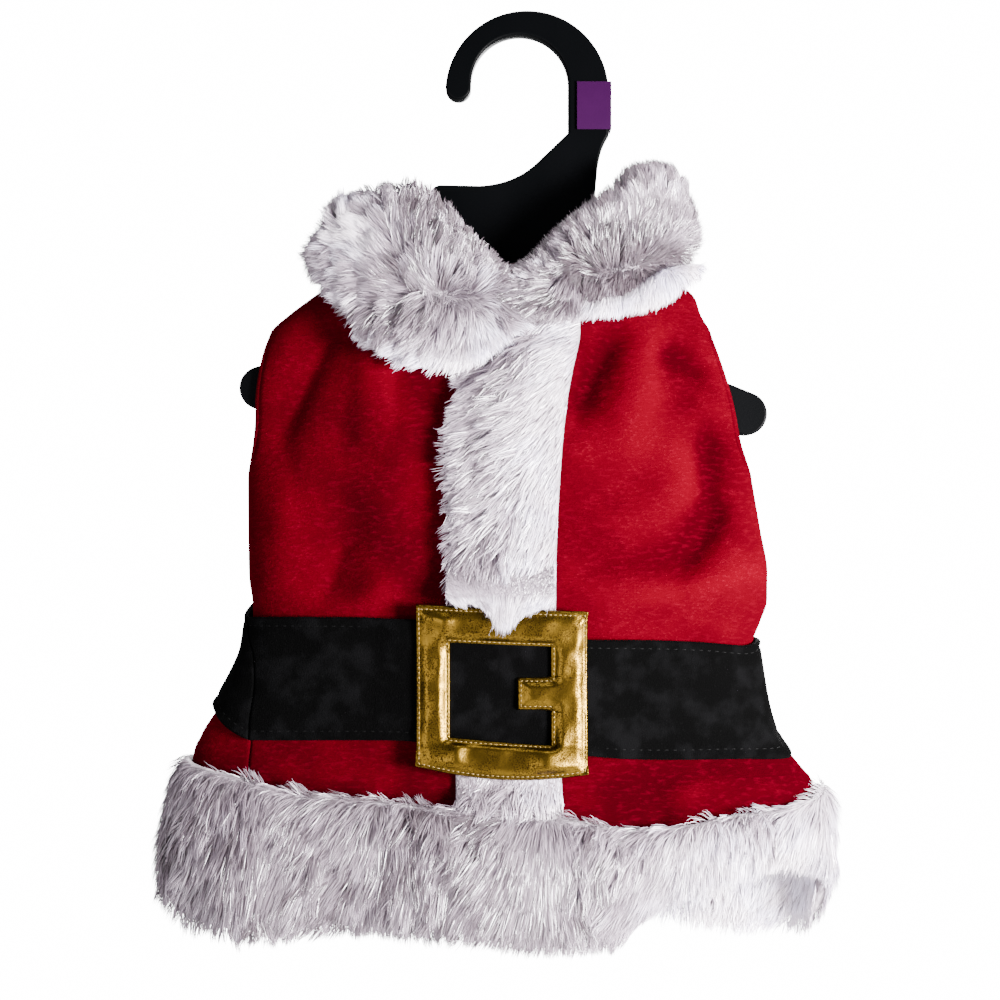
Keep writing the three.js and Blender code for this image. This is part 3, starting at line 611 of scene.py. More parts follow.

# %% [markdown]
# ## Front and back panels
# Both panels are cut to the tube, from the neckline to where they vanish behind the hem fur. The side
# seams are two rounded edges that meet in a small valley, and the leg openings are a turned hem. Every
# point carries a painted shade: darker in fold troughs, at the leg openings' stitching, just above the
# hem fur, below the belt and over the front's left half, away from the lamp, and lighter on fold ridges.
# Listed patches of the front, partly nap that lies another way and partly painted shade and light,
# lighten or darken it further.

# %% Velour panels
VELOUR = 2.0
SEAM_INSET = 0.06  # degrees of girth short of a side seam
UNDER_HEM = 13
TURNED_HEM = 6  # mm from a leg opening's edge to its stitching
PANEL_COLUMNS = {"front_panel": 100, "back_panel": 92}
PANEL_ROWS = 112
PANEL_WIDE, PANEL_TALL = 190, 230  # mm, near enough to space the grid lines
ALLOWANCE = 4.6  # mm from the hem's fur up to the edge of the seam allowance that lies under the velour
SIDES = {  # first and last turn at the hem, and the side seams' columns
    "front_panel": (-53, 90, "front_left", "front_right"),
    "back_panel": (90, 307, "back_right", "back_left"),
}
LEG_TOP, LEG_BOTTOM = -106, -163
BELT_SHADOW_REACH = (252, 266)  # from here to here down from the hook, the belt's painted shadow starts and is full
NAP_AND_SHADE_PATCHES = [  # partly where the nap lies another way, partly painted shade and light of folds and of the skirt below the belt: (from x z, to x z, half width, lighter or darker)
    ((-48, -120), (-46, -138), 6, 0.3), ((-36, -130), (-34, -150), 8, -0.22),
    ((-56, -142), (-54, -164), 10, -0.14), ((-60, -178), (-36, -196), 10, -0.28),
    ((-84, -176), (-76, -206), 10, 0.15), ((-50, -199), (-50, -208), 5, 0.22),
    ((42, -110), (45, -134), 5, 0.3), ((20, -182), (44, -198), 8, -0.18),
    ((30, -204), (54, -205), 5, 0.25), ((18, -140), (34, -160), 9, 0.1),
    ((40, -276), (92, -270), 13, -0.44), ((-84, -268), (-46, -272), 7, 0.12),
]


def across_panel(side, share, z):
    """The turn of a place `share` of the way from a panel's first side seam to its last."""
    _, _, first, last = SIDES[side]
    low = SIDE_SEAMS.read(first, z) + SEAM_INSET
    high = SIDE_SEAMS.read(last, z) - SEAM_INSET
    return low + (high - low) * share


def panel_grid(side):
    """A panel's middle points and, at each of them, a shade: painted shade and light, and the nap's
    patches.
    """
    first, last, _, _ = SIDES[side]
    share = edged(PANEL_COLUMNS[side], PANEL_WIDE, VELOUR)[None, :]
    along = edged(PANEL_ROWS, PANEL_TALL, VELOUR)[:, None]
    nominal = first + (last - first) * share
    top = NECKLINE.read("z", nominal)
    bottom = HEM.read("top", nominal) - UNDER_HEM
    z = bottom + (top - bottom) * along
    turn = across_panel(side, share, z)
    grid = on_coat(turn, z, -VELOUR / 2, creased=True)
    from_side = np.minimum(share, 1 - share) * PANEL_WIDE
    by_leg = smoothstep(-LEG_TOP, -LEG_TOP + 4, -z) * (1 - smoothstep(-LEG_BOTTOM - 4, -LEG_BOTTOM, -z))
    stitched = hump(from_side, TURNED_HEM, 0.7) * by_leg
    under_cloth = 1 - smoothstep(ALLOWANCE - 1, ALLOWANCE + 0.6, z - HEM.read("top", nominal))
    belt_shadow = smoothstep(*BELT_SHADOW_REACH, -z)
    x = on_girth(turn, z)[..., 0]
    # painted shade: the front's left half, which faces away from the lamp, is darker
    shaded_side = (1 - smoothstep(-30, 10, x)) * (side == "front_panel")
    # painted shade and light: darker in the troughs and lighter on the ridges of folds and creases, except
    # on the left half
    nap_and_shade = 0.58 - 0.12 * shaded_side + (0.15 - 0.15 * shaded_side) * relief(turn, z, True)
    # painted shade: in the leg openings' stitched groove, just above the hem fur, and in the belt's shadow
    # below it
    nap_and_shade = nap_and_shade - 0.3 * stitched - 0.12 * under_cloth - 0.2 * belt_shadow
    if side == "front_panel":
        for start, end, wide, lighter in NAP_AND_SHADE_PATCHES:
            nap_and_shade = nap_and_shade + lighter * hump(off_line(x, z, start, end), 0, wide)
    raised = 0.5 * under_cloth - 0.45 * stitched
    return grid + grid_normals(grid) * raised[..., None], np.clip(nap_and_shade, 0, 1)


panels = {}
for side in SIDES:
    grid, nap_and_shade = panel_grid(side)
    flat_area(grid)
    panels[side] = shell(f"{side}_cloth", grid, VELOUR, nap_and_shade)
    panels[side].data.materials.append(velour.material)

# %% [markdown]
# ## Black plush belt
# The belt is a strip of short black plush, topstitched along both edges: each row of stitches pulls a
# fine groove into it. It was sewn on a little askew, and bows out over the fur strip.

# %% Belt
BELT_PLUSH, BELT_LONG, BELT_DEEP = 2.0, 190, 45
BELT_COLUMNS, BELT_ROWS = 120, 26
LAID_LIFT = 1.0
TOPSTITCH_IN = 3.2  # mm from the belt's edge to its stitches
STITCH_GROOVE = 0.55
BELT_ENDS = {"belt_front": ("front_panel", -90, 90), "belt_back": ("back_panel", 90, 290)}

plush = Finish(
    "black_plush",
    {
        "Roughness": 0.9, "Sheen Weight": 0.002, "Sheen Roughness": 0.4, "Sheen Tint": (0.8, 0.85, 0.9, 1),
        "Specular IOR Level": 0.02,
    },
)
brushed = plush.noise(9, 4.0)
fuzz = plush.noise(0.55, 3.0)
soot = plush.mix(brushed.between(0.42, 0.68), (0.0002, 0.0002, 0.0002), (0.0012, 0.0012, 0.0013))
plush.colour(fuzz.between(0.6, 0.85), soot, (0.002, 0.002, 0.002))
plush.feed("Normal", plush.bump(fuzz, 0.3, plush.bump(brushed, 0.5)))


def rippled(turn, z):
    """The plush's slight waves."""
    return 0.35 * np.sin(turn * 0.21) * np.sin((z + turn * 0.4) * 0.16)


def belt_grid(name):
    side, first, last = BELT_ENDS[name]
    share = edged(BELT_COLUMNS, BELT_LONG, BELT_PLUSH)[None, :]
    along = edged(BELT_ROWS, BELT_DEEP, BELT_PLUSH)[:, None]
    nominal = first + (last - first) * share
    bottom, top = BELT.read("bottom", nominal), BELT.read("top", nominal)
    z = bottom + (top - bottom) * along
    turn = across_panel(side, share, z)
    from_edge = np.minimum(z - bottom, top - z)
    puffed = 0.5 * smoothstep(0, 9, from_edge)
    groove = STITCH_GROOVE * hump(from_edge, TOPSTITCH_IN, 0.55)
    lift = LAID_LIFT + clear_of_strip(turn, z) + BELT_PLUSH / 2
    return on_coat(turn, z, lift + puffed + rippled(turn, z) - groove)


belts = {}
for name in BELT_ENDS:
    grid = belt_grid(name)
    flat_area(grid)
    belts[name] = shell(f"{name}_cloth", grid, BELT_PLUSH)
    belts[name].data.materials.append(plush.material)

# %% [markdown]
# ## Stitches
# A machine stitch is a short thread that dips into the cloth at both ends. All stitches of one piece are
# one mesh of small bent six-sided rods, laid out by an array of their middles and directions.

# %% Stitch maker
STITCH_SIDES, STITCH_LEVELS = 6, 5


def stitches(name, middles, directions, normals, length, radius, material):
    """One mesh of stitches: rods along directions that bow out along normals."""
    steps = np.linspace(-1, 1, STITCH_LEVELS)
    side = np.cross(directions, normals)
    arch = 1 - steps**2
    line = (
        middles[:, None]
        + directions[:, None] * (steps * length / 2)[:, None]
        + normals[:, None] * (arch * radius * 1.3 - radius * 0.7)[:, None]
    )
    around = np.linspace(0, 2 * np.pi, STITCH_SIDES, endpoint=False)
    taper = radius * np.sqrt(np.clip(1 - steps**4, 0.12, 1))
    ring = side[:, None, None] * np.cos(around)[:, None] + normals[:, None, None] * np.sin(around)[:, None]
    points = line[:, :, None] + ring * taper[None, :, None, None]
    count, levels = len(middles), len(steps)
    at = np.arange(count * levels * STITCH_SIDES).reshape(count, levels, STITCH_SIDES)
    turned = np.roll(at, -1, 2)
    walls = np.stack([at[:, :-1], turned[:, :-1], turned[:, 1:], at[:, 1:]], -1).reshape(-1, 4)
    caps = np.concatenate([at[:, 0, ::-1], at[:, -1]])
    made = make_object(name, points.reshape(-1, 3), [walls, caps])
    made.data.materials.append(material)
    return made


def stitch_count(made):
    return len(made.data.vertices) // (STITCH_SIDES * STITCH_LEVELS)


def along_line(points, spacing):
    """Evenly spaced middles and directions along a line of points."""
    lengths = np.concatenate([[0], np.cumsum(np.linalg.norm(np.diff(points, axis=0), axis=-1))])
    at = np.arange(spacing / 2, lengths[-1], spacing)
    middle = np.stack([np.interp(at, lengths, points[:, i]) for i in range(3)], -1)
    ahead = np.stack([np.interp(at + 0.3, lengths, points[:, i]) for i in range(3)], -1)
    behind = np.stack([np.interp(at - 0.3, lengths, points[:, i]) for i in range(3)], -1)
    return middle, unit(ahead - behind)


def all_of(found):
    """One array for each column of a list of rows of arrays."""
    return [np.concatenate(column) for column in zip(*found)]


def square_to(directions, normals):
    """The normals, made square to the directions."""
    return unit(normals - directions * (normals * directions).sum(-1, keepdims=True))


# %% Belt stitches
BELT_STITCH, BELT_STITCH_SPACING, THREAD = 2.4, 3.1, 0.22
thread_black = Finish("black_thread", {"Roughness": 0.6, "Specular IOR Level": 0.05})
thread_black.colour(thread_black.noise(0.4), (0.0008, 0.0008, 0.0008), (0.002, 0.002, 0.002))
belt_stitches = {}
for name, (side, first, last) in BELT_ENDS.items():
    found = []
    for edge, inward in (("top", -1), ("bottom", 1)):
        share = np.linspace(0.004, 0.996, 260)
        nominal = first + (last - first) * share
        z = BELT.read(edge, nominal) + inward * TOPSTITCH_IN
        turn = across_panel(side, share, z)
        lift = LAID_LIFT + clear_of_strip(turn, z) + BELT_PLUSH + 0.05
        line = on_coat(turn, z, lift + rippled(turn, z) - STITCH_GROOVE + 0.12)
        middle, way = along_line(line, BELT_STITCH_SPACING)
        spots = np.linspace(0, 1, len(middle))
        normal = facing(np.interp(spots, share, turn), np.interp(spots, share, z))
        found.append((middle, way, square_to(way, normal)))
    belt_stitches[name] = stitches(
        f"{name}_stitches", *all_of(found), BELT_STITCH, THREAD, thread_black.material
    )
print("belt stitches:", [stitch_count(made) for made in belt_stitches.values()])

# %% [markdown]
# ## Gold foil buckle
# The buckle isn't metal: it is one cut of foil cloth over a thin wadding, sewn down near both of its
# edges, so it stands a little proud between two rows of stitches and its foil wrinkles. A ring of grid
# lines runs from the inner to the outer outline, and how high each point stands follows from how far
# it is from an edge.

# %% Foil finish
foil = Finish("gold_foil", {"Metallic": 1.0, "Specular IOR Level": 0.6})
grain = foil.noise(0.5, 3.0)
cracks = foil.noise(1.3, 4.0, turn=(0.4, 0.1, 0.2))
worn = foil.noise(7, 2.0)
rubbed = grain.between(0.46, 0.6) * worn.between(0.2, 0.55) * 0.8
dull = (rubbed + cracks.between(0.58, 0.7) * 0.35).between(0, 1)
foil.colour(dull, (0.093, 0.055, 0.0065), (0.0075, 0.0037, 0.001))
foil.feed("Roughness", 0.29 + dull * 0.2)
foil.feed("Normal", foil.bump(cracks, 0.06, foil.bump(grain, 0.05)))

# %% Buckle
BUCKLE_LIFT, FOIL_CLOTH = 0.7, 1.6
BUCKLE_PUFF = 1.35
BUCKLE_STITCH_IN = 1.15
BUCKLE_SAG = 3
LEFT_EDGE, RIGHT_EDGE = -37.5, 22.5
BUCKLE_INSIDE = [
    (-25.5, -221), (9.5, -222.5), (9.5, -234), (-2, -234), (-2, -246), (9.5, -246), (9.5, -259),
    (-25.5, -255.5),
]
BUCKLE_OUTSIDE = [
    (LEFT_EDGE, -208), (RIGHT_EDGE, -210), (RIGHT_EDGE, -232), (RIGHT_EDGE, -235.5), (RIGHT_EDGE, -244.5),
    (RIGHT_EDGE, -248), (RIGHT_EDGE, -269), (LEFT_EDGE, -266),
]
BUCKLE_STEPS = [52, 26, 18, 20, 18, 26, 52, 48]  # grid lines between one pair of corners and the next


def outline(corners):
    """The closed outline through corners, divided as BUCKLE_STEPS says."""
    ends = corners[1:] + corners[:1]
    parts = [
        np.linspace(a, b, steps, endpoint=False) for a, b, steps in zip(corners, ends, BUCKLE_STEPS)
    ]
    return np.concatenate(parts)


def sagged(line):
    """The buckle's lower edge bows down between its corners."""
    share = np.clip((line[:, 0] - LEFT_EDGE) / (RIGHT_EDGE - LEFT_EDGE), 0, 1)
    low = smoothstep(240, 266, -line[:, 1])
    return line - np.stack([0 * share, BUCKLE_SAG * low * (1 - (2 * share - 1) ** 2)], -1)


def to_outline(points, line):
    """How far 2D points are from a closed line of points."""
    best = np.full(points.shape[:-1], 1e9)
    for a, b in zip(line, np.roll(line, -1, 0)):
        way = b - a
        t = np.clip(((points - a) @ way) / (way @ way), 0, 1)
        best = np.minimum(best, np.linalg.norm(points - a - t[..., None] * way, axis=-1))
    return best


def buckle_lift(x, z, height):
    turn = turn_at(x, z)
    return on_coat(turn, z, LAID_LIFT + clear_of_strip(turn, z) + BELT_PLUSH + BUCKLE_LIFT + height)


buckle_inner = outline(BUCKLE_INSIDE)
buckle_outer = sagged(outline(BUCKLE_OUTSIDE))
inner_corners = np.array(BUCKLE_INSIDE, float)
steps_out = edged(16, 13, 1.2)  # from the inner to the outer outline, which lie about 13 mm apart
flat_ring = buckle_inner[:, None] + (buckle_outer - buckle_inner)[:, None] * steps_out[None, :, None]
to_inside = to_outline(flat_ring, inner_corners)
to_outside = to_outline(flat_ring, buckle_outer[::6])
nearest = np.minimum(to_inside, to_outside)
rx, rz = flat_ring[..., 0], flat_ring[..., 1]
PUCKERS = [  # where the foil stands up in a little ridge: (x, z, half width, half height, how far)
    (-23, -262, 3, 5.5, 1.2), (8, -265, 6, 7, 1.8), (-27.5, -213, 2.6, 5, 1.0), (-32.5, -246, 4, 8, 0.3),
    (15, -226, 3.5, 7, 0.35), (14, -256, 3.5, 7, 0.4), (3, -240, 3, 4, 0.25),
]
wrinkle = (
    0.24 * np.sin(rx * 0.36 + 1.3 * np.sin(rz * 0.21)) * np.sin(rz * 0.2 + 0.6)
    + 0.08 * np.sin(rx * 0.75 - rz * 0.5 + 2.1) + 0.05 * np.sin(rz * 0.9 + rx * 0.3)
)
full = smoothstep(BUCKLE_STITCH_IN - 0.4, 4.2, nearest)
for px, pz, wide, tall, high in PUCKERS:
    wrinkle = wrinkle + high * hump(rx, px, wide) * hump(rz, pz, tall)
puffed = BUCKLE_PUFF * (1 + 0.2 * np.sin(rz * 0.17 + 0.9) * np.sin(rx * 0.11 + 2))
stand = puffed * full + wrinkle * smoothstep(0.8, 3.2, nearest)
stand = stand - 0.3 * hump(nearest, BUCKLE_STITCH_IN, 0.45)
top_side = buckle_lift(rx, rz, FOIL_CLOTH * rounding(nearest, 0.7) + stand)
under_side = buckle_lift(rx, rz, 0 * rx)


def closed_ring(name, top, under):
    """A closed band: its top and under grids meet along the first and last column."""
    count, across = top.shape[:2]
    at = np.arange(count * across).reshape(count, across)
    below = at + count * across
    below[:, 0], below[:, -1] = at[:, 0], at[:, -1]
    faces = []
    for grid, way in ((at, 1), (below, -1)):
        turned = np.roll(grid, -1, 0)
        quads = np.stack([grid[:, :-1], grid[:, 1:], turned[:, 1:], turned[:, :-1]], -1)
        faces.append(quads.reshape(-1, 4)[:, ::way])
    points = np.concatenate([top.reshape(-1, 3), under.reshape(-1, 3)])
    used, fresh = np.unique(np.concatenate([f.ravel() for f in faces]), return_inverse=True)
    split = len(faces[0]) * 4
    return make_object(name, points[used], [fresh[:split].reshape(-1, 4), fresh[split:].reshape(-1, 4)])


top_side[:, 0], top_side[:, -1] = under_side[:, 0], under_side[:, -1]
buckle = closed_ring("buckle_cloth", top_side, under_side)
buckle.data.materials.append(foil.material)

# %% Buckle stitches
GOLD_STITCH, GOLD_SPACING, GOLD_THREAD = 1.35, 1.75, 0.17
thread_gold = Finish("gold_thread", {"Roughness": 0.4, "Metallic": 0.55})
thread_gold.colour(thread_gold.noise(0.5), (0.11, 0.07, 0.015), (0.22, 0.145, 0.04))


def moved_in(corners, distance):
    """Corners of a closed outline moved to its left by a distance."""
    before = corners - np.roll(corners, 1, 0)
    after = np.roll(corners, -1, 0) - corners
    left = [np.stack([-way[:, 1], way[:, 0]], -1) for way in (unit(before), unit(after))]
    share = 1 + (left[0] * left[1]).sum(-1, keepdims=True)
    return corners + distance * (left[0] + left[1]) / share


outer_corners = np.array([BUCKLE_OUTSIDE[i] for i in (0, 1, 6, 7)], float)
found = []
for corners, distance in ((outer_corners, -BUCKLE_STITCH_IN), (inner_corners, BUCKLE_STITCH_IN)):
    moved = moved_in(corners, distance)
    looped = np.concatenate([moved, moved[:1]])
    line = np.concatenate([np.linspace(a, b, 60, endpoint=False) for a, b in zip(looped, looped[1:])])
    line = sagged(line) if distance < 0 else line
    place = buckle_lift(line[:, 0], line[:, 1], np.full(len(line), FOIL_CLOTH - 0.22))
    middle, way = along_line(np.concatenate([place, place[:1]]), GOLD_SPACING)
    turn = turn_at(middle[:, 0], middle[:, 2])
    found.append((middle, way, square_to(way, facing(turn, middle[:, 2]))))
buckle_stitches = stitches(
    "buckle_stitches", *all_of(found), GOLD_STITCH, GOLD_THREAD, thread_gold.material
)
print("buckle:", len(buckle.data.polygons), "faces; stitches:", stitch_count(buckle_stitches))

# %% [markdown]
# ## Hanger and size marker
# Both are injection mouldings: an outline pushed through its thickness, with small round edges that
# catch the light. A filled 2D curve with an extrusion and a bevel gives exactly that, and is then turned
# into a mesh. The marker is a bare clip round the stem.

# %% Plastic finishes
black_plastic = Finish("hanger_plastic", {"Specular IOR Level": 0.02})
flow_marks = black_plastic.noise(22, 2.0, scale=(1, 1, 0.4))
orange_peel = black_plastic.noise(0.9, 2.0)
black_plastic.colour(flow_marks, (0.0004, 0.0005, 0.0006), (0.0007, 0.0008, 0.001))
black_plastic.feed("Roughness", 0.34 + flow_marks * 0.12)
black_plastic.feed("Normal", black_plastic.bump(orange_peel, 0.02))

purple_plastic = Finish("marker_plastic", {"Specular IOR Level": 0.04})
purple_cloud = purple_plastic.noise(8, 2.0)
purple_plastic.colour(purple_cloud, (0.0115, 0.0004, 0.014), (0.014, 0.0006, 0.0165))
purple_plastic.feed("Roughness", 0.42 + purple_cloud * 0.12)
purple_plastic.feed("Normal", purple_plastic.bump(purple_plastic.noise(0.7, 2.0), 0.015))


# %% Mouldings
def moulding(name, corners, thick, round_edge, material):
    """A flat outline, pushed half its thickness to either side of the XY plane, as a mesh."""
    curve = bpy.data.curves.new(name, "CURVE")
    curve.dimensions = "2D"
    curve.fill_mode = "BOTH"
    curve.extrude = (thick / 2 - round_edge) * MM
    curve.bevel_depth = round_edge * MM
    curve.bevel_resolution = 3
    curve.offset = -round_edge * MM
    spline = curve.splines.new("POLY")
    spline.points.add(len(corners) - 1)
    spline.use_cyclic_u = True
    flat = np.array([(x * MM, y * MM, 0, 1) for x, y in corners], np.float32)
    spline.points.foreach_set("co", flat.ravel())
    drawn = bpy.data.objects.new(name, curve)
    bpy.context.scene.collection.objects.link(drawn)
    bpy.context.view_layer.update()
    mesh = bpy.data.meshes.new_from_object(drawn.evaluated_get(bpy.context.evaluated_depsgraph_get()))
    bpy.data.objects.remove(drawn)
    bpy.data.curves.remove(curve)
    mesh.name = name
    mesh.set_sharp_from_angle(angle=np.radians(28))
    mesh.materials.clear()
    mesh.materials.append(material)
    made = bpy.data.objects.new(name, mesh)
    bpy.context.scene.collection.objects.link(made)
    return made


def arc(centre, radius, start, end, steps=40):
    angle = np.linspace(start, end, steps)
    return [(centre[0] + radius * np.cos(t), centre[1] + radius * np.sin(t)) for t in angle]


def bezier(*points, steps=24):
    """Points of a line or a curve from its first point to its last, without the first."""
    t = np.linspace(0, 1, steps + 1)[1:, None]
    layer = [np.array(p, float)[None] + 0 * t for p in points]
    while len(layer) > 1:
        layer = [a + (b - a) * t for a, b in zip(layer, layer[1:])]
    return [tuple(p) for p in layer[0]]


HANGER_THICK, HANGER_ROUND = 6, 0.9
HOOK_INSIDE, HOOK_OUTSIDE, HOOK_TIP = (-0.9, -17.9, 17.9), (1.8, -21.1, 30.1), (-23.5, -19.2, 4.7)
LEFT_ARM, RIGHT_ARM = (-96.2, -130, 8, 16), (82.3, -139.5, 8, 22.5)
HALF_TURN = np.pi


def level_with_tip(circle):
    x, z, radius = circle
    return HALF_TURN - np.arcsin((HOOK_TIP[1] - z) / radius)


def chain(start, steps):
    """Points through lines and curves; each step is its pull points and its end."""
    points = []
    for step in steps:
        points += bezier(start, *step) if len(step) > 1 else [step[0]]
        start = step[-1]
    return points


right_end = HALF_TURN / 2 - np.radians(RIGHT_ARM[3])
left_end = -HALF_TURN / 2 + np.radians(LEFT_ARM[3])
hanger_outline = arc(HOOK_INSIDE[:2], HOOK_INSIDE[2], 0, level_with_tip(HOOK_INSIDE), 64)[:-1]
hanger_outline += arc(HOOK_TIP[:2], HOOK_TIP[2], 0, -HALF_TURN, 20)[1:-1]
hanger_outline += arc(HOOK_OUTSIDE[:2], HOOK_OUTSIDE[2], level_with_tip(HOOK_OUTSIDE), 0, 80)
hanger_outline += chain(
    hanger_outline[-1],
    [((31.9, -37),), ((29, -41), (27.8, -49)), ((26.3, -66),), ((27, -98), (36, -112), (58, -121))],
)
hanger_outline += arc(RIGHT_ARM[:2], RIGHT_ARM[2], right_end, right_end - HALF_TURN, 28)
hanger_outline += chain(
    hanger_outline[-1],
    [((60, -139),), ((34, -128), (20, -84), (-1.9, -83)), ((-26, -84), (-44, -121), (-70, -131))],
)
hanger_outline += arc(LEFT_ARM[:2], LEFT_ARM[2], left_end, left_end - HALF_TURN, 28)
hanger_outline += chain(
    hanger_outline[-1],
    [
        ((-72, -114.5),), ((-50, -108), (-38, -96), (-36, -66)), ((-35, -55.4), (-30, -55.2)),
        ((-15.5, -55.5),), ((-6, -55), (1, -51.5), (6, -46.5)), ((17, -36),),
    ],
)
hanger = moulding("hanger_moulding", hanger_outline, HANGER_THICK, HANGER_ROUND, black_plastic.material)
hanger.data.transform(Matrix.Rotation(np.pi / 2, 4, "X"))

MARKER_LEFT, MARKER_RIGHT, MARKER_TOP, MARKER_BOTTOM, MARKER_WALL = 20.2, 31.9, -17.4, -35, 0.6
inside = HANGER_THICK / 2 + SEAM_GAP
outside = inside + MARKER_WALL
stem = MARKER_RIGHT + SEAM_GAP
channel = [
    (MARKER_LEFT, -outside), (stem + MARKER_WALL, -outside), (stem + MARKER_WALL, outside),
    (MARKER_LEFT, outside), (MARKER_LEFT, inside), (stem, inside), (stem, -inside), (MARKER_LEFT, -inside),
]
marker = moulding("size_marker_clip", channel, MARKER_TOP - MARKER_BOTTOM, 0.2, purple_plastic.material)
marker.data.transform(Matrix.Translation((0, 0, (MARKER_TOP + MARKER_BOTTOM) / 2 * MM)))
print("hanger:", len(hanger.data.polygons), "faces; marker:", len(marker.data.polygons), "faces")

# %% [markdown]
# ## Long white pile
# Faux fur is a knitted backing with a dense pile that lies one way, in locks that part and overlap.
# Each fur piece is a soft pad, smaller than the piece and coloured as the pile's shaded depth, a
# painted shade, with tens of thousands of fine tapered hairs on it. Hairs start on the pad, lean with
# the pile, bend down under their weight and gather towards the tip of their lock. One mesh holds all
# hairs of a piece. Hair particles would look alike, but a mesh is exact, comes out the same each time,
# and can leave Blender.

# %% Fur finish
fur_white = Finish(
    "white_pile",
    {"Roughness": 0.34, "Sheen Weight": 0.1, "Sheen Roughness": 0.5, "Specular IOR Level": 0.9},
)
tone = fur_white.node("ShaderNodeAttribute", {"attribute_name": "tone"}, output="Fac")
patches = fur_white.noise(16, 2.0).between(0.35, 0.65)
warm = fur_white.mix(patches, (0.87, 0.83, 0.98), (0.96, 0.88, 0.94))
shaded = fur_white.mix(tone * 2, (0.045, 0.03, 0.037), (0.29, 0.235, 0.28))
fur_white.colour(tone * 2 - 1, shaded, warm)

# painted shade: the pad is a dark greyish mauve, so that where it shows between hairs it looks like the
# pile's shaded depth
shaded_pad = Finish("fur_backing_shade", {"Roughness": 0.9, "Sheen Weight": 0.3})
pad_tufts = shaded_pad.noise(1.6, 4.0, scale=(1, 1, 0.35))
shaded_pad.colour(pad_tufts.between(0.35, 0.7), (0.16, 0.125, 0.15), (0.38, 0.33, 0.37))
shaded_pad.feed("Normal", shaded_pad.bump(pad_tufts, 0.9))

# %% Pads
PILE_EDGE, COLLAR_LIFT = 1.2, 1.5
FILL = 0.6  # how much of the pile's depth the pad takes; the rest is loose hair


def pillow(along):
    """How full a fur piece is between its edges."""
    return np.sqrt(np.clip(1 - (2 * along - 1) ** 4, 0, 1))


def waves(points, size, seed):
    """Smooth noise from about -1 to 1 whose features are about `size` mm."""
    rng = np.random.default_rng(seed)
    total = np.zeros(points.shape[:-1])
    for _ in range(7):
        way = rng.normal(size=3)
        way *= 2 * np.pi / (size * rng.uniform(1.2, 2.6)) / np.linalg.norm(way)
        total += np.sin(points @ way + rng.uniform(0, 2 * np.pi))
    return total / 3.2


class FurPiece:
    """A cut of fur cloth on the coat. place(a, v) gives turn, z, lift and thickness of its pile."""

    def __init__(self, name, place, inset, shape=None):
        self.name, self.place, self.inset = name, place, inset
        self.shape = shape or (lambda a, v: 1)

    def skin(self, a, v, under=False):
        """Points of the pad: its outer face, or its inner one."""
        (left, right), (low, high) = self.inset
        a, v = left + (1 - left - right) * a, low + (1 - low - high) * v
        turn, z, lift, thick = self.place(a, v)
        if under:
            return on_coat(turn, z, lift)
        outer = on_coat(turn, z, lift + np.maximum(thick * FILL * self.shape(a, v), 0.8))
        return outer + facing(turn, z) * (0.5 * waves(outer, 7, 5) * np.minimum(thick / 8, 1))[..., None]

    def pad(self, columns, rows):
        a, v = np.meshgrid(np.linspace(0, 1, columns), np.linspace(0, 1, rows))
        made = closed(f"{self.name}_pad", self.skin(a, v), self.skin(a, v, under=True))
        made.data.materials.append(shaded_pad.material)
        flat_area(self.skin(a, v))
        return made


def collar_place(name):
    table = COLLARS[name]

    def place(a, v):
        along = (1 - np.cos(np.pi * v)) / 2
        turn, z = table.blend("low_turn", "high_turn", a, along), table.blend("low", "high", a, along)
        thick = PILE_EDGE + (table.read("pile", a) - PILE_EDGE) * pillow(along)
        return turn, z, COLLAR_LIFT + clear_of_strip(turn, z), thick

    return place


def hem_place(side):
    first, last, _, _ = SIDES[side]

    def place(a, v):
        along = (1 - np.cos(np.pi * v)) / 2
        nominal = first + (last - first) * a
        z = HEM.blend("bottom", "top", nominal, along)
        thick = PILE_EDGE + (HEM.read("pile", nominal) - PILE_EDGE) * pillow(along)
        return across_panel(side, a, z), z, np.full(z.shape, LAID_LIFT), thick

    return place


STRIP_TOP, STRIP_PILE = -96, 7.5
BUCKLE_TOP, BUCKLE_BOTTOM = -208, -272
BELOW_COLLAR, FROM_BUCKLE = (2, 9), (-1.5, 6)
FOOT_LEFT, FOOT_WIDE, FOOT_Z = -27, 42, -278  # the strip's lower end, about where the hem band starts
WINGS_MEET = 7.5  # the turn at which the collar's two wings meet


def strip_place(a, v):
    """The strip down the front: v from the hem band up to under the collar."""
    foot = HEM.read("top", turn_at(FOOT_LEFT + FOOT_WIDE * a, np.full(np.shape(a), float(FOOT_Z)))) + 1
    z = foot + (STRIP_TOP - foot) * v
    x = STRIP.blend("left", "right", z, a)
    turn = turn_at(x, z)
    left_wing, right_wing = COLLARS["collar_left"], COLLARS["collar_right"]
    order = np.linspace(0, 1, 60)
    under = np.where(
        turn < WINGS_MEET,
        np.interp(turn, left_wing.read("low_turn", order), left_wing.read("low", order)),
        np.interp(turn, right_wing.read("low_turn", order), right_wing.read("low", order)),
    )
    free = smoothstep(*BELOW_COLLAR, under - z)
    free = free * smoothstep(*FROM_BUCKLE, np.maximum(z - BUCKLE_TOP, BUCKLE_BOTTOM - z))
    full = STRIP_PRESSED + (STRIP_PILE - STRIP_PRESSED) * free
    return turn, z, np.full(z.shape, LAID_LIFT), PILE_EDGE + (full - PILE_EDGE) * pillow(a)


def rolled(a, v):
    """The right wing's lower edge is a roll of its own, under a crease."""
    crease = hump(v, 0.31, 0.07) * smoothstep(0.12, 0.35, a)
    return 1 - 0.55 * crease + 0.12 * hump(v, 0.16, 0.1)


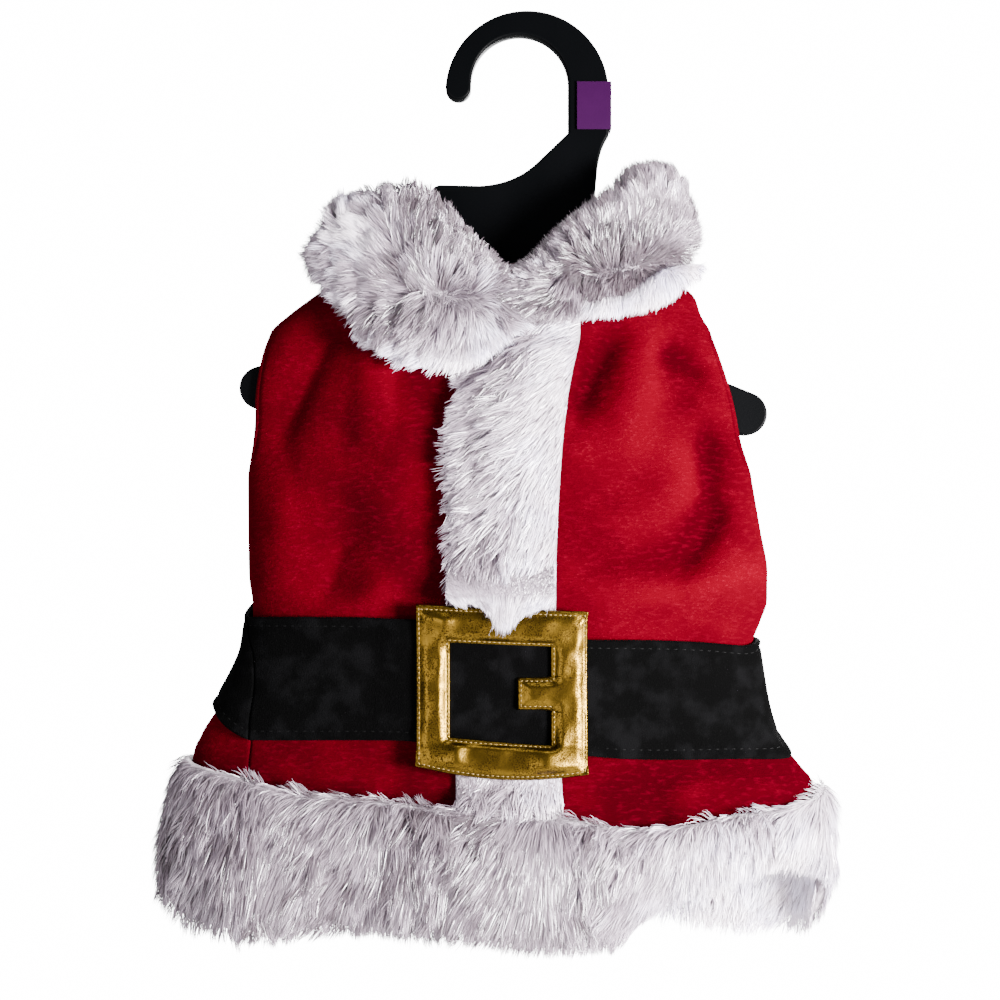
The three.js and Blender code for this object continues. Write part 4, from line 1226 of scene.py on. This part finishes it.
COLLAR_INSET, HEM_INSET = ((0, 0), (0.13, 0.15)), ((0, 0), (0.15, 0.08))
furs = {
    "collar_left": FurPiece("collar_left", collar_place("collar_left"), COLLAR_INSET),
    "collar_right": FurPiece("collar_right", collar_place("collar_right"), COLLAR_INSET, rolled),
    "collar_back": FurPiece("collar_back", collar_place("collar_back"), COLLAR_INSET),
    "hem_front": FurPiece("hem_front", hem_place("front_panel"), HEM_INSET),
    "hem_back": FurPiece("hem_back", hem_place("back_panel"), HEM_INSET),
    "placket": FurPiece("placket", strip_place, ((0.09, 0.03), (0.0, 0.0))),
}
PAD_GRIDS = {
    "collar_left": (80, 26), "collar_right": (72, 26), "collar_back": (36, 22), "hem_front": (110, 26),
    "hem_back": (120, 26), "placket": (26, 110),
}
pads = {name: fur.pad(*PAD_GRIDS[name]) for name, fur in furs.items()}
print("pads:", {name: len(pad.data.polygons) for name, pad in pads.items()})

# %% [markdown]
# ## Hairs
# All hairs of a piece are worked out together, as arrays with one row a hair. A hair has four levels:
# two points at each of the first three and one at its tip. Its lock is the cell of a loose grid over the
# pad that its root falls in. Every lock has its own lean, length and brightness.

# %% Growing hairs
HAIR_LEVELS = np.array([0.0, 0.38, 0.74, 1.0])
HAIR_WIDTHS = np.array([0.75, 1.0, 0.62, 0.0])
HAIR_SHADES = np.array([0.25, 0.65, 0.95, 0.25, 0.65, 0.95, 1.0])  # painted shade, dark at the root and light at the tip, of a hair's two sides and its tip


def skin_normals(skin, a, v):
    step = 0.004
    across = skin(np.clip(a + step, 0, 1), v) - skin(np.clip(a - step, 0, 1), v)
    up = skin(a, np.clip(v + step, 0, 1)) - skin(a, np.clip(v - step, 0, 1))
    return unit(np.cross(across, up))


def turned_about(vectors, axis, angle):
    """Vectors square to an axis, turned about it."""
    return vectors * np.cos(angle)[:, None] + np.cross(axis, vectors) * np.sin(angle)[:, None]


def bent_lines(root, normal, lean, length, rise, droop):
    """Hair centre lines: they start by `rise` off the cloth and bend over towards their lean."""
    start = unit(lean + normal * rise[:, None])
    end = unit(lean + normal * (0.22 * rise)[:, None] + np.array([0, 0, -1.0]) * droop)
    t = HAIR_LEVELS[:, None, None]
    centre = root + length[:, None] * (start * (t - t * t / 2) + end * t * t / 2)
    return centre, unit(start * (1 - t) + end * t)


def ruffled(points, a, v):
    """No stretch of the pile lies calm."""
    return np.zeros(np.shape(a))


def grow(
    name, skin, count, lean_at, length_at, tone_at, seed, calm_at=ruffled, flip=1, rise=0.6, droop=0.25,
    lock=2.6, gather=0.55, width=0.3, uneven=0.2, tousle=1.0,
):
    """One mesh of hairs. lean_at, length_at, tone_at and calm_at take points, a and v."""
    rng = np.random.default_rng(seed)
    cells = 80
    ca, cv = np.meshgrid(np.linspace(0, 1, cells + 1), np.linspace(0, 1, cells + 1))
    spots = skin(ca, cv)
    falling, rising = spots[1:, 1:] - spots[:-1, :-1], spots[1:, :-1] - spots[:-1, 1:]
    size = np.linalg.norm(np.cross(falling, rising), axis=-1)
    chosen = rng.choice(size.size, count, p=size.ravel() / size.sum())
    a = (chosen % cells + rng.random(count)) / cells
    v = (chosen // cells + rng.random(count)) / cells
    wide = np.linalg.norm(np.diff(spots, axis=1), axis=-1).sum(1).mean()
    tall = np.linalg.norm(np.diff(spots, axis=0), axis=-1).sum(0).mean()
    locks_a, locks_v = wide / lock, tall / lock
    ia = np.floor(a * locks_a + rng.uniform(-0.4, 0.4, count))
    iv = np.floor(v * locks_v + rng.uniform(-0.4, 0.4, count))
    _, which = np.unique(ia * 4096 + iv, return_inverse=True)
    locks = which.max() + 1
    lock_turn, lock_long, lock_tone, lock_rise = (rng.normal(size=locks)[which] for _ in range(4))
    shift = rng.uniform(-0.3, 0.3, (2, locks))[:, which]
    middle_a = np.clip((ia + 0.5 + shift[0]) / locks_a, 0.0, 1.0)
    middle_v = np.clip((iv + 0.5 + shift[1]) / locks_v, 0.0, 1.0)

    def lines(root_a, root_v, own_turn, own_length, own_rise):
        root = skin(root_a, root_v)
        normal = skin_normals(skin, root_a, root_v) * flip
        lean = lean_at(root, root_a, root_v)
        parted = 1 - np.clip(np.linalg.norm(lean, axis=-1), 0, 1)
        lean = square_to(normal, lean)
        loose = 1 - calm_at(root, root_a, root_v)
        swept = 0.34 * waves(root, 13, seed + 1) + 0.26 * lock_turn + own_turn
        sweep = tousle * (0.2 + 0.8 * loose) * swept
        lean = turned_about(lean, normal, sweep)
        long = length_at(root, root_a, root_v) * (1 + 0.16 * lock_long * loose) * own_length
        uneven_rise = 1 + 0.45 * waves(root, 10, seed + 2) + 0.25 * lock_rise
        high = (rise * (0.4 + 0.6 * loose) + 1.3 * parted) * (1 + (uneven_rise - 1) * loose) * own_rise
        high = np.clip(high, 0.08, 2)
        centre, along = bent_lines(root, normal, lean, long, high, droop)
        return centre, along, normal

    one = np.ones(count)
    centre, along, normal = lines(
        a, v, 0.13 * rng.normal(size=count), rng.uniform(0.72, 1.12, count), rng.uniform(0.8, 1.2, count)
    )
    gathered, _, _ = lines(middle_a, middle_v, 0 * one, one, one)
    calm = calm_at(centre[0], a, v)
    held = rng.uniform(0.6, 1.15, count) * (1 - 0.6 * calm)
    pull = (gather * HAIR_LEVELS**1.4)[:, None, None] * held[None, :, None]
    centre = centre + (gathered - centre) * pull
    centre[-1] += rng.normal(scale=0.35, size=(count, 3))
    spin = 0.55 * rng.normal(size=count)
    side = unit(np.cross(along, normal[None]))
    across = unit(side * np.cos(spin)[None, :, None] + normal[None] * np.sin(spin)[None, :, None])
    half = (HAIR_WIDTHS[:, None] * width * rng.uniform(0.7, 1.3, count) / 2)[..., None]
    left, right = (centre - across * half)[:3], (centre + across * half)[:3]
    points = np.concatenate([left, right, centre[3:]]).transpose(1, 0, 2)
    base = np.arange(count)[:, None] * len(HAIR_SHADES)
    quads = np.concatenate([base + np.array(q) for q in ((0, 3, 4, 1), (1, 4, 5, 2))])
    tips = base + np.array([2, 5, 6])
    cloud = 0.6 * waves(centre[0], 7, seed + 3) + 0.4 * waves(centre[0], 18, seed + 4)
    differing = uneven * (1 - 0.7 * calm) * (0.6 * lock_tone + 0.6 * cloud + 0.35 * rng.normal(size=count))
    bright = np.clip(tone_at(centre[0], a, v) + differing, 0.04, 1.0)
    # painted shade towards the roots, less of it where the pile lies calm
    root_shade = 1 - (1 - HAIR_SHADES) * (1 - 0.75 * calm[:, None])
    made = make_object(name, points.reshape(-1, 3), [quads, tips], (bright[:, None] * root_shade).ravel())
    made.data.materials.append(fur_white.material)
    return made


# %% [markdown]
# ## Where each piece's pile points
# On the collar the pile fans out from where each wing was pressed flat, on the strip it was brushed
# left and down, and on the hem it hangs, but for tufts that stand up along its top. A hair is short
# close to a crisp, pressed edge.

# %% Pile directions
def as_vectors(x, y, z):
    return np.stack(np.broadcast_arrays(x, y, z), -1).astype(float)


def combed(strokes, reach):
    """Pile brushed by strokes (x, z, towards x, towards z) on the front; on the back it parts."""
    spots = np.array([stroke[:2] for stroke in strokes], float)
    ways = unit(np.array([stroke[2:] for stroke in strokes], float))

    def lean(points, a, v):
        front = smoothstep(-6, 4, -points[..., 1])[..., None]
        apart = points[..., None, ::2] - spots
        weight = np.exp(-(apart**2).sum(-1) / reach**2) + 1e-6
        way = (weight[..., None] * ways).sum(-2) / weight.sum(-1, keepdims=True)
        brushed = as_vectors(way[..., 0], 0, way[..., 1])
        parted = as_vectors(0.6 * np.tanh(points[..., 0] / 25), 0.2, (v - 0.4) * 3)
        return brushed * front + parted * (1 - front)

    return lean


LEFT_WING_STROKES = [
    (-63, -66, -0.6, 0.8), (-44, -63, -0.15, 1), (-31, -64, 0.2, 1), (-72, -80, -1, 0.35),
    (-68, -97, -1, -0.05), (-63, -110, -0.8, -0.6), (-56, -80, -0.75, 0.6), (-52, -96, -1, 0),
    (-50, -113, -0.7, -0.7), (-42, -90, -0.5, 0.8), (-43, -76, -0.25, 1), (-30, -80, 0.1, 1),
    (-19, -80, 0.4, 0.9), (-12, -90, 0.5, 0.85), (-22, -94, 0.3, 0.9), (-42, -118, -1, -0.3),
    (-26, -122, -0.5, -0.9), (-13, -110, 0.5, -0.9), (-5, -104, 0.8, -0.6), (-34, -108, -0.5, -0.9),
    (-22, -106, 0.1, -1),
]
RIGHT_WING_STROKES = [
    (2, -92, -0.7, 0.6), (8, -86, -0.5, 0.9), (16, -76, -0.5, 0.9), (24, -68, -0.3, 1), (34, -60, -0.2, 1),
    (46, -56, -0.1, 1), (58, -60, 0.2, 1), (66, -72, 0.7, 0.7), (66, -83, 0.7, -0.5), (30, -84, -0.2, 1),
    (46, -78, 0.1, 1), (20, -96, -0.3, -0.9), (34, -98, -0.1, -1), (50, -94, 0.1, -1),
    (60, -94, 0.2, -1), (68, -91, 0.2, -1), (4, -102, -0.6, -0.8), (-2, -98, -1, 0.1),
]
STRIP_STROKES = [
    (-22, -130, -1, -0.1), (-10, -128, -1, -0.25), (8, -124, -0.8, -0.5), (-24, -150, -1, -0.25),
    (-10, -148, -0.9, -0.35), (8, -145, -0.6, -0.8), (-26, -170, -1, -0.25), (-12, -168, -0.8, -0.6),
    (6, -168, -0.5, -0.9), (-26, -190, -1, -0.4), (-12, -190, -0.4, -0.9), (4, -190, -0.45, -0.9),
    (-24, -204, -0.5, -0.9), (-10, -204, 0.2, -1), (6, -204, -0.5, -0.9), (-20, -276, -0.3, -1),
    (0, -276, -0.2, -1),
]


def hem_lean(points, a, v):
    x = points[..., 0]
    tufted = np.sin(x * 0.31) + np.sin(x * 0.13) > 0.7 + 0.7 * smoothstep(0, 40, x)
    up = smoothstep(0.88, 1.0, v) * (0.62 + 0.38 * tufted - 0.3 * smoothstep(10, 50, x))
    return as_vectors(-0.35 + 0.3 * np.sin(x * 0.11), 0, -1 + 1.7 * up)


def near(points, x, z, reach):
    """1 at a place of the coat, as the front is seen, and less around it."""
    return hump(points[..., 0], x, reach) * hump(points[..., 2], z, reach)


def in_collar(points, a, v):
    """How long hairs are: shorter at the lower edge, at the neck, and at two places that lie flat."""
    long = 9.0 - 4.0 * smoothstep(0.6, 0.95, v) - 3.5 * (1 - smoothstep(0.0, 0.3, v))
    long = long * (1 - 0.5 * near(points, 72, -86, 12))
    return long * (1 - 0.6 * smoothstep(0.5, 0.7, v) * near(points, -4, -86, 20))


def in_strip(points, a, v):
    """Short where the strip is pressed flat, and along both of its edges."""
    free = np.maximum(smoothstep(1.0, 2.6, strip_thickness(a, v)), points[..., 2] > BUCKLE_TOP + 3)
    return (5.0 + 4.5 * smoothstep(0.05, 0.3, a) - 4.5 * smoothstep(0.6, 0.95, a)) * (0.3 + 0.7 * free)


def strip_thickness(a, v):
    (left, right), _ = furs["placket"].inset
    return strip_place(left + (1 - left - right) * a, v)[3] * 0.5


def in_hem(points, a, v):
    return 11.5 - 5.0 * smoothstep(0.85, 1.0, v) - 5.0 * (1 - smoothstep(0.0, 0.35, v))


# %% [markdown]
# ## Light and shade painted on the pile
# These numbers paint light and shade onto the pile: 0 is the pile's shaded depth, 1 its lit tips. Spots
# paint light or shade on a round place. The calmer a stretch is, the flatter and more even its hairs lie,
# and the less painted shade their roots carry.

# %% Pile tones
LEFT_WING_PAINTED_LIGHT = [  # painted light or shade: (x, z, reach, lighter or darker)
    (-37, -101, 9, -0.12), (-16, -107, 8, 0.4), (-18, -117, 13, 0.22), (-41, -119, 8, 0.3),
    (-60, -77, 9, 0.45), (-46, -64, 12, -0.08), (-54, -92, 8, 0.15),
]
# painted light on the right wing, and below it painted shade on the hem band: (x, z, reach, lighter or
# darker)
RIGHT_WING_PAINTED_LIGHT = [(66, -74, 12, 0.2), (4, -94, 10, 0.25), (54, -80, 16, 0.2)]
HEM_PAINTED_SHADE = [(-122, -300, 20, -0.06), (-8, -305, 25, -0.07)]


def spotted(points, spots):
    """The sum of all spots."""
    return sum(lighter * near(points, x, z, reach) for x, z, reach, lighter in spots)


def left_wing_tone(points, a, v):
    """Painted light on the tips beside the shoulder and along the lower rim; painted shade towards the neck
    and on the band behind the shoulder.
    """
    rim = (1 - smoothstep(0.08, 0.22, v)) * smoothstep(-52, -34, points[..., 0])
    tips = hump(a, 0.36, 0.07) * smoothstep(0.15, 0.4, v)
    tone = 0.31 + 0.3 * tips + spotted(points, LEFT_WING_PAINTED_LIGHT)
    tone = tone * (1 - 0.8 * smoothstep(0.7, 0.95, v) * smoothstep(-42, -26, points[..., 0]))
    tone = tone + (0.24 - tone) * (1 - smoothstep(0.22, 0.3, a))
    return tone + (1.0 - tone) * rim


def left_wing_calm(points, a, v):
    """The lobe towards the strip and the band behind the shoulder lie smooth."""
    behind = 1 - smoothstep(0.24, 0.31, a)
    return np.clip(behind + spotted(points, [(-20, -119, 16, 1), (-54, -91, 10, 0.6)]), 0, 1)


def right_wing_tone(points, a, v):
    """Painted light on the roll and on a row of tips; painted shade in the crease above the roll and in the
    neck.
    """
    x = points[..., 0]
    roll = (1 - smoothstep(0.22, 0.29, v)) * smoothstep(0.05, 0.25, a) * (1 - 0.8 * smoothstep(66, 76, x))
    tone = 0.08 + 0.4 * hump(v, 0.7, 0.08) - 0.04 * smoothstep(0.78, 0.95, v)
    tone = tone + spotted(points, RIGHT_WING_PAINTED_LIGHT)
    neck_shade = smoothstep(0.7, 0.95, v) * (1 - smoothstep(24, 40, x))
    tone = tone * (1 - 0.8 * neck_shade) * (1 - 0.7 * near(points, 24, -84, 12))
    crease = hump(v, 0.3, 0.035) * smoothstep(0.12, 0.35, a)
    return tone + (1.0 - tone) * roll - 0.45 * crease


def right_wing_calm(points, a, v):
    """The roll and the band behind it lie smooth, and a row of tips stands up between them."""
    edges = 1 - smoothstep(0.22, 0.29, v) + smoothstep(0.8, 0.9, v)
    return np.clip(edges + 0.8 * near(points, 50, -79, 18), 0, 1)


def strip_tone(points, a, v):
    """Brighter towards the straight edge."""
    return 0.43 + 0.38 * smoothstep(0.3, 0.8, a) - 0.15 * near(points, 0, -122, 13)


def strip_calm(points, a, v):
    """The strip lies smooth towards its straight edge."""
    return 0.8 * smoothstep(0.5, 0.85, a)


def hem_tone(points, a, v):
    """Brighter towards the right, where the light comes from."""
    x = points[..., 0]
    return 0.24 + 0.04 * smoothstep(-100, -40, x) + 0.44 * smoothstep(5, 70, x) + spotted(points, HEM_PAINTED_SHADE)


def hem_calm(points, a, v):
    """The band lies smooth in patches, the more so further down and to the right."""
    right = smoothstep(10, 60, points[..., 0])
    return np.clip(0.45 + 0.4 * right + 0.9 * waves(points, 24, 31) - 0.5 * smoothstep(0.7, 0.95, v), 0, 1)


def bright_tone(points, a, v):
    return np.full(np.shape(a), 0.95)


COLLAR_WAYS = {"droop": 0.1, "tousle": 1.2, "lock": 3.0, "gather": 0.6}
HEM_WAYS = {"rise": 0.45, "uneven": 0.24}
COVERS = [  # (piece, hairs, lean, length, tone, seed, calm, how else they grow)
    (
        "collar_left", 23000, combed(LEFT_WING_STROKES, 9), in_collar, left_wing_tone, 11, left_wing_calm,
        {"rise": 0.6, "uneven": 0.33, **COLLAR_WAYS},
    ),
    (
        "collar_right", 21000, combed(RIGHT_WING_STROKES, 9), in_collar, right_wing_tone, 12,
        right_wing_calm, {"rise": 0.5, "uneven": 0.27, **COLLAR_WAYS},
    ),
    (
        "collar_back", 6000, combed([(0, -60, 0, 1)], 9), in_collar, right_wing_tone, 13, right_wing_calm,
        {},
    ),
    ("hem_front", 30000, hem_lean, in_hem, hem_tone, 14, hem_calm, HEM_WAYS),
    ("hem_back", 30000, hem_lean, in_hem, hem_tone, 15, hem_calm, HEM_WAYS),
    (
        "placket", 15000, combed(STRIP_STROKES, 11), in_strip, strip_tone, 16, strip_calm,
        {"rise": 0.45, "lock": 2.2, "uneven": 0.18},
    ),
]
hairs = {
    name: grow(f"{name}_fur", furs[name].skin, count, lean, length, tone, seed, calm, **ways)
    for name, count, lean, length, tone, seed, calm, ways in COVERS
}
print("hairs:", {name: len(o.data.polygons) * 5 // 3 for name, o in hairs.items()}, "triangles")

# %% [markdown]
# ## Loose ends of the pile
# Two places need hairs of their own: the lock of the strip that hangs over the buckle, and the inner
# side of the back hem, which shows where the front hem curls up.

# %% Lock over the buckle
LOCK_X, LOCK_TOP, LOCK_DEEP = -4.5, -195, 6.5
PATCH_LEFT, PATCH_WIDE, PATCH_TALL = -27, 38, 11


def lock_skin(a, v):
    """A little patch at the foot of the strip's upper stretch, as high as its pile."""
    z = LOCK_TOP - PATCH_TALL * v
    turn = turn_at(PATCH_LEFT + PATCH_WIDE * a, z)
    return on_coat(turn, z, LAID_LIFT + 4.0 + 4.4 * v)


def lock_lean(points, a, v):
    """Down, and in towards the lock's middle."""
    return as_vectors((LOCK_X - points[..., 0]) * 0.045, 0, -1)


def in_lock(points, a, v):
    """Longest in the lock's middle, and longer from further up."""
    above = np.clip(points[..., 2] - BUCKLE_TOP, 0, 12)
    return 2.5 + above + LOCK_DEEP * hump(points[..., 0], LOCK_X, 8)


def lock_tone(points, a, v):
    """As bright as the strip where the lock starts, and brighter further down."""
    start = 0.43 + 0.38 * smoothstep(0.3, 0.8, a)
    return start + (0.95 - start) * smoothstep(0.3, 1.0, v)


def lock_calm(points, a, v):
    return 0.1 + 0.4 * v


def half_calm(points, a, v):
    return np.full(np.shape(a), 0.5)


hairs["lock"] = grow(
    "placket_lock_fur", lock_skin, 5000, lock_lean, in_lock, lock_tone, 21, lock_calm, rise=0.3, droop=0.1,
    gather=0.4, uneven=0.25, tousle=0.6, lock=1.8,
)


# %% Inner side of the hem
INSIDE_SEEN = 0.32  # how much of the back hem band's length shows its inner side


def inner_skin(a, v):
    turn, z, lift, _ = hem_place("back_panel")(INSIDE_SEEN * a, 0.04 + 0.7 * v)
    return on_coat(turn, z, lift - 0.4)


def in_inside(points, a, v):
    return 6 + 2 * v


hairs["hem_inside"] = grow(
    "hem_inside_fur", inner_skin, 11000, hem_lean, in_inside, bright_tone, 22, half_calm, flip=-1, rise=0.5,
    uneven=0.12,
)

# %% [markdown]
# ## Hang each piece on the body
# Every piece rides on the one body and stands for its solid, which is hidden.

# %% Pieces and bodies
BODY = "root"
CLOTH_PIECES = [  # (piece, node, slot, what goes with it)
    (panels["front_panel"], "front_panel", "red_velour", []),
    (panels["back_panel"], "back_panel", "red_velour", []),
    (belts["belt_front"], "belt_front", "black_plush", [belt_stitches["belt_front"]]),
    (belts["belt_back"], "belt_back", "black_plush", [belt_stitches["belt_back"]]),
    (buckle, "buckle", "gold_foil", [buckle_stitches]),
    (pads["collar_left"], "collar_left", "white_fur", [hairs["collar_left"]]),
    (pads["collar_right"], "collar_right", "white_fur", [hairs["collar_right"]]),
    (pads["collar_back"], "collar_back", "white_fur", [hairs["collar_back"]]),
    (pads["placket"], "placket", "white_fur", [hairs["placket"], hairs["lock"]]),
    (pads["hem_front"], "hem_front", "white_fur", [hairs["hem_front"]]),
    (pads["hem_back"], "hem_back", "white_fur", [hairs["hem_back"], hairs["hem_inside"]]),
]
for piece, node, slot, going in CLOTH_PIECES:
    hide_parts(node)
    for part in [piece, *going]:
        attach(part, BODY)
for piece, node, slot in ((hanger, "hanger", "hanger_plastic"), (marker, "size_marker", "marker_plastic")):
    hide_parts(node)
    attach(piece, BODY)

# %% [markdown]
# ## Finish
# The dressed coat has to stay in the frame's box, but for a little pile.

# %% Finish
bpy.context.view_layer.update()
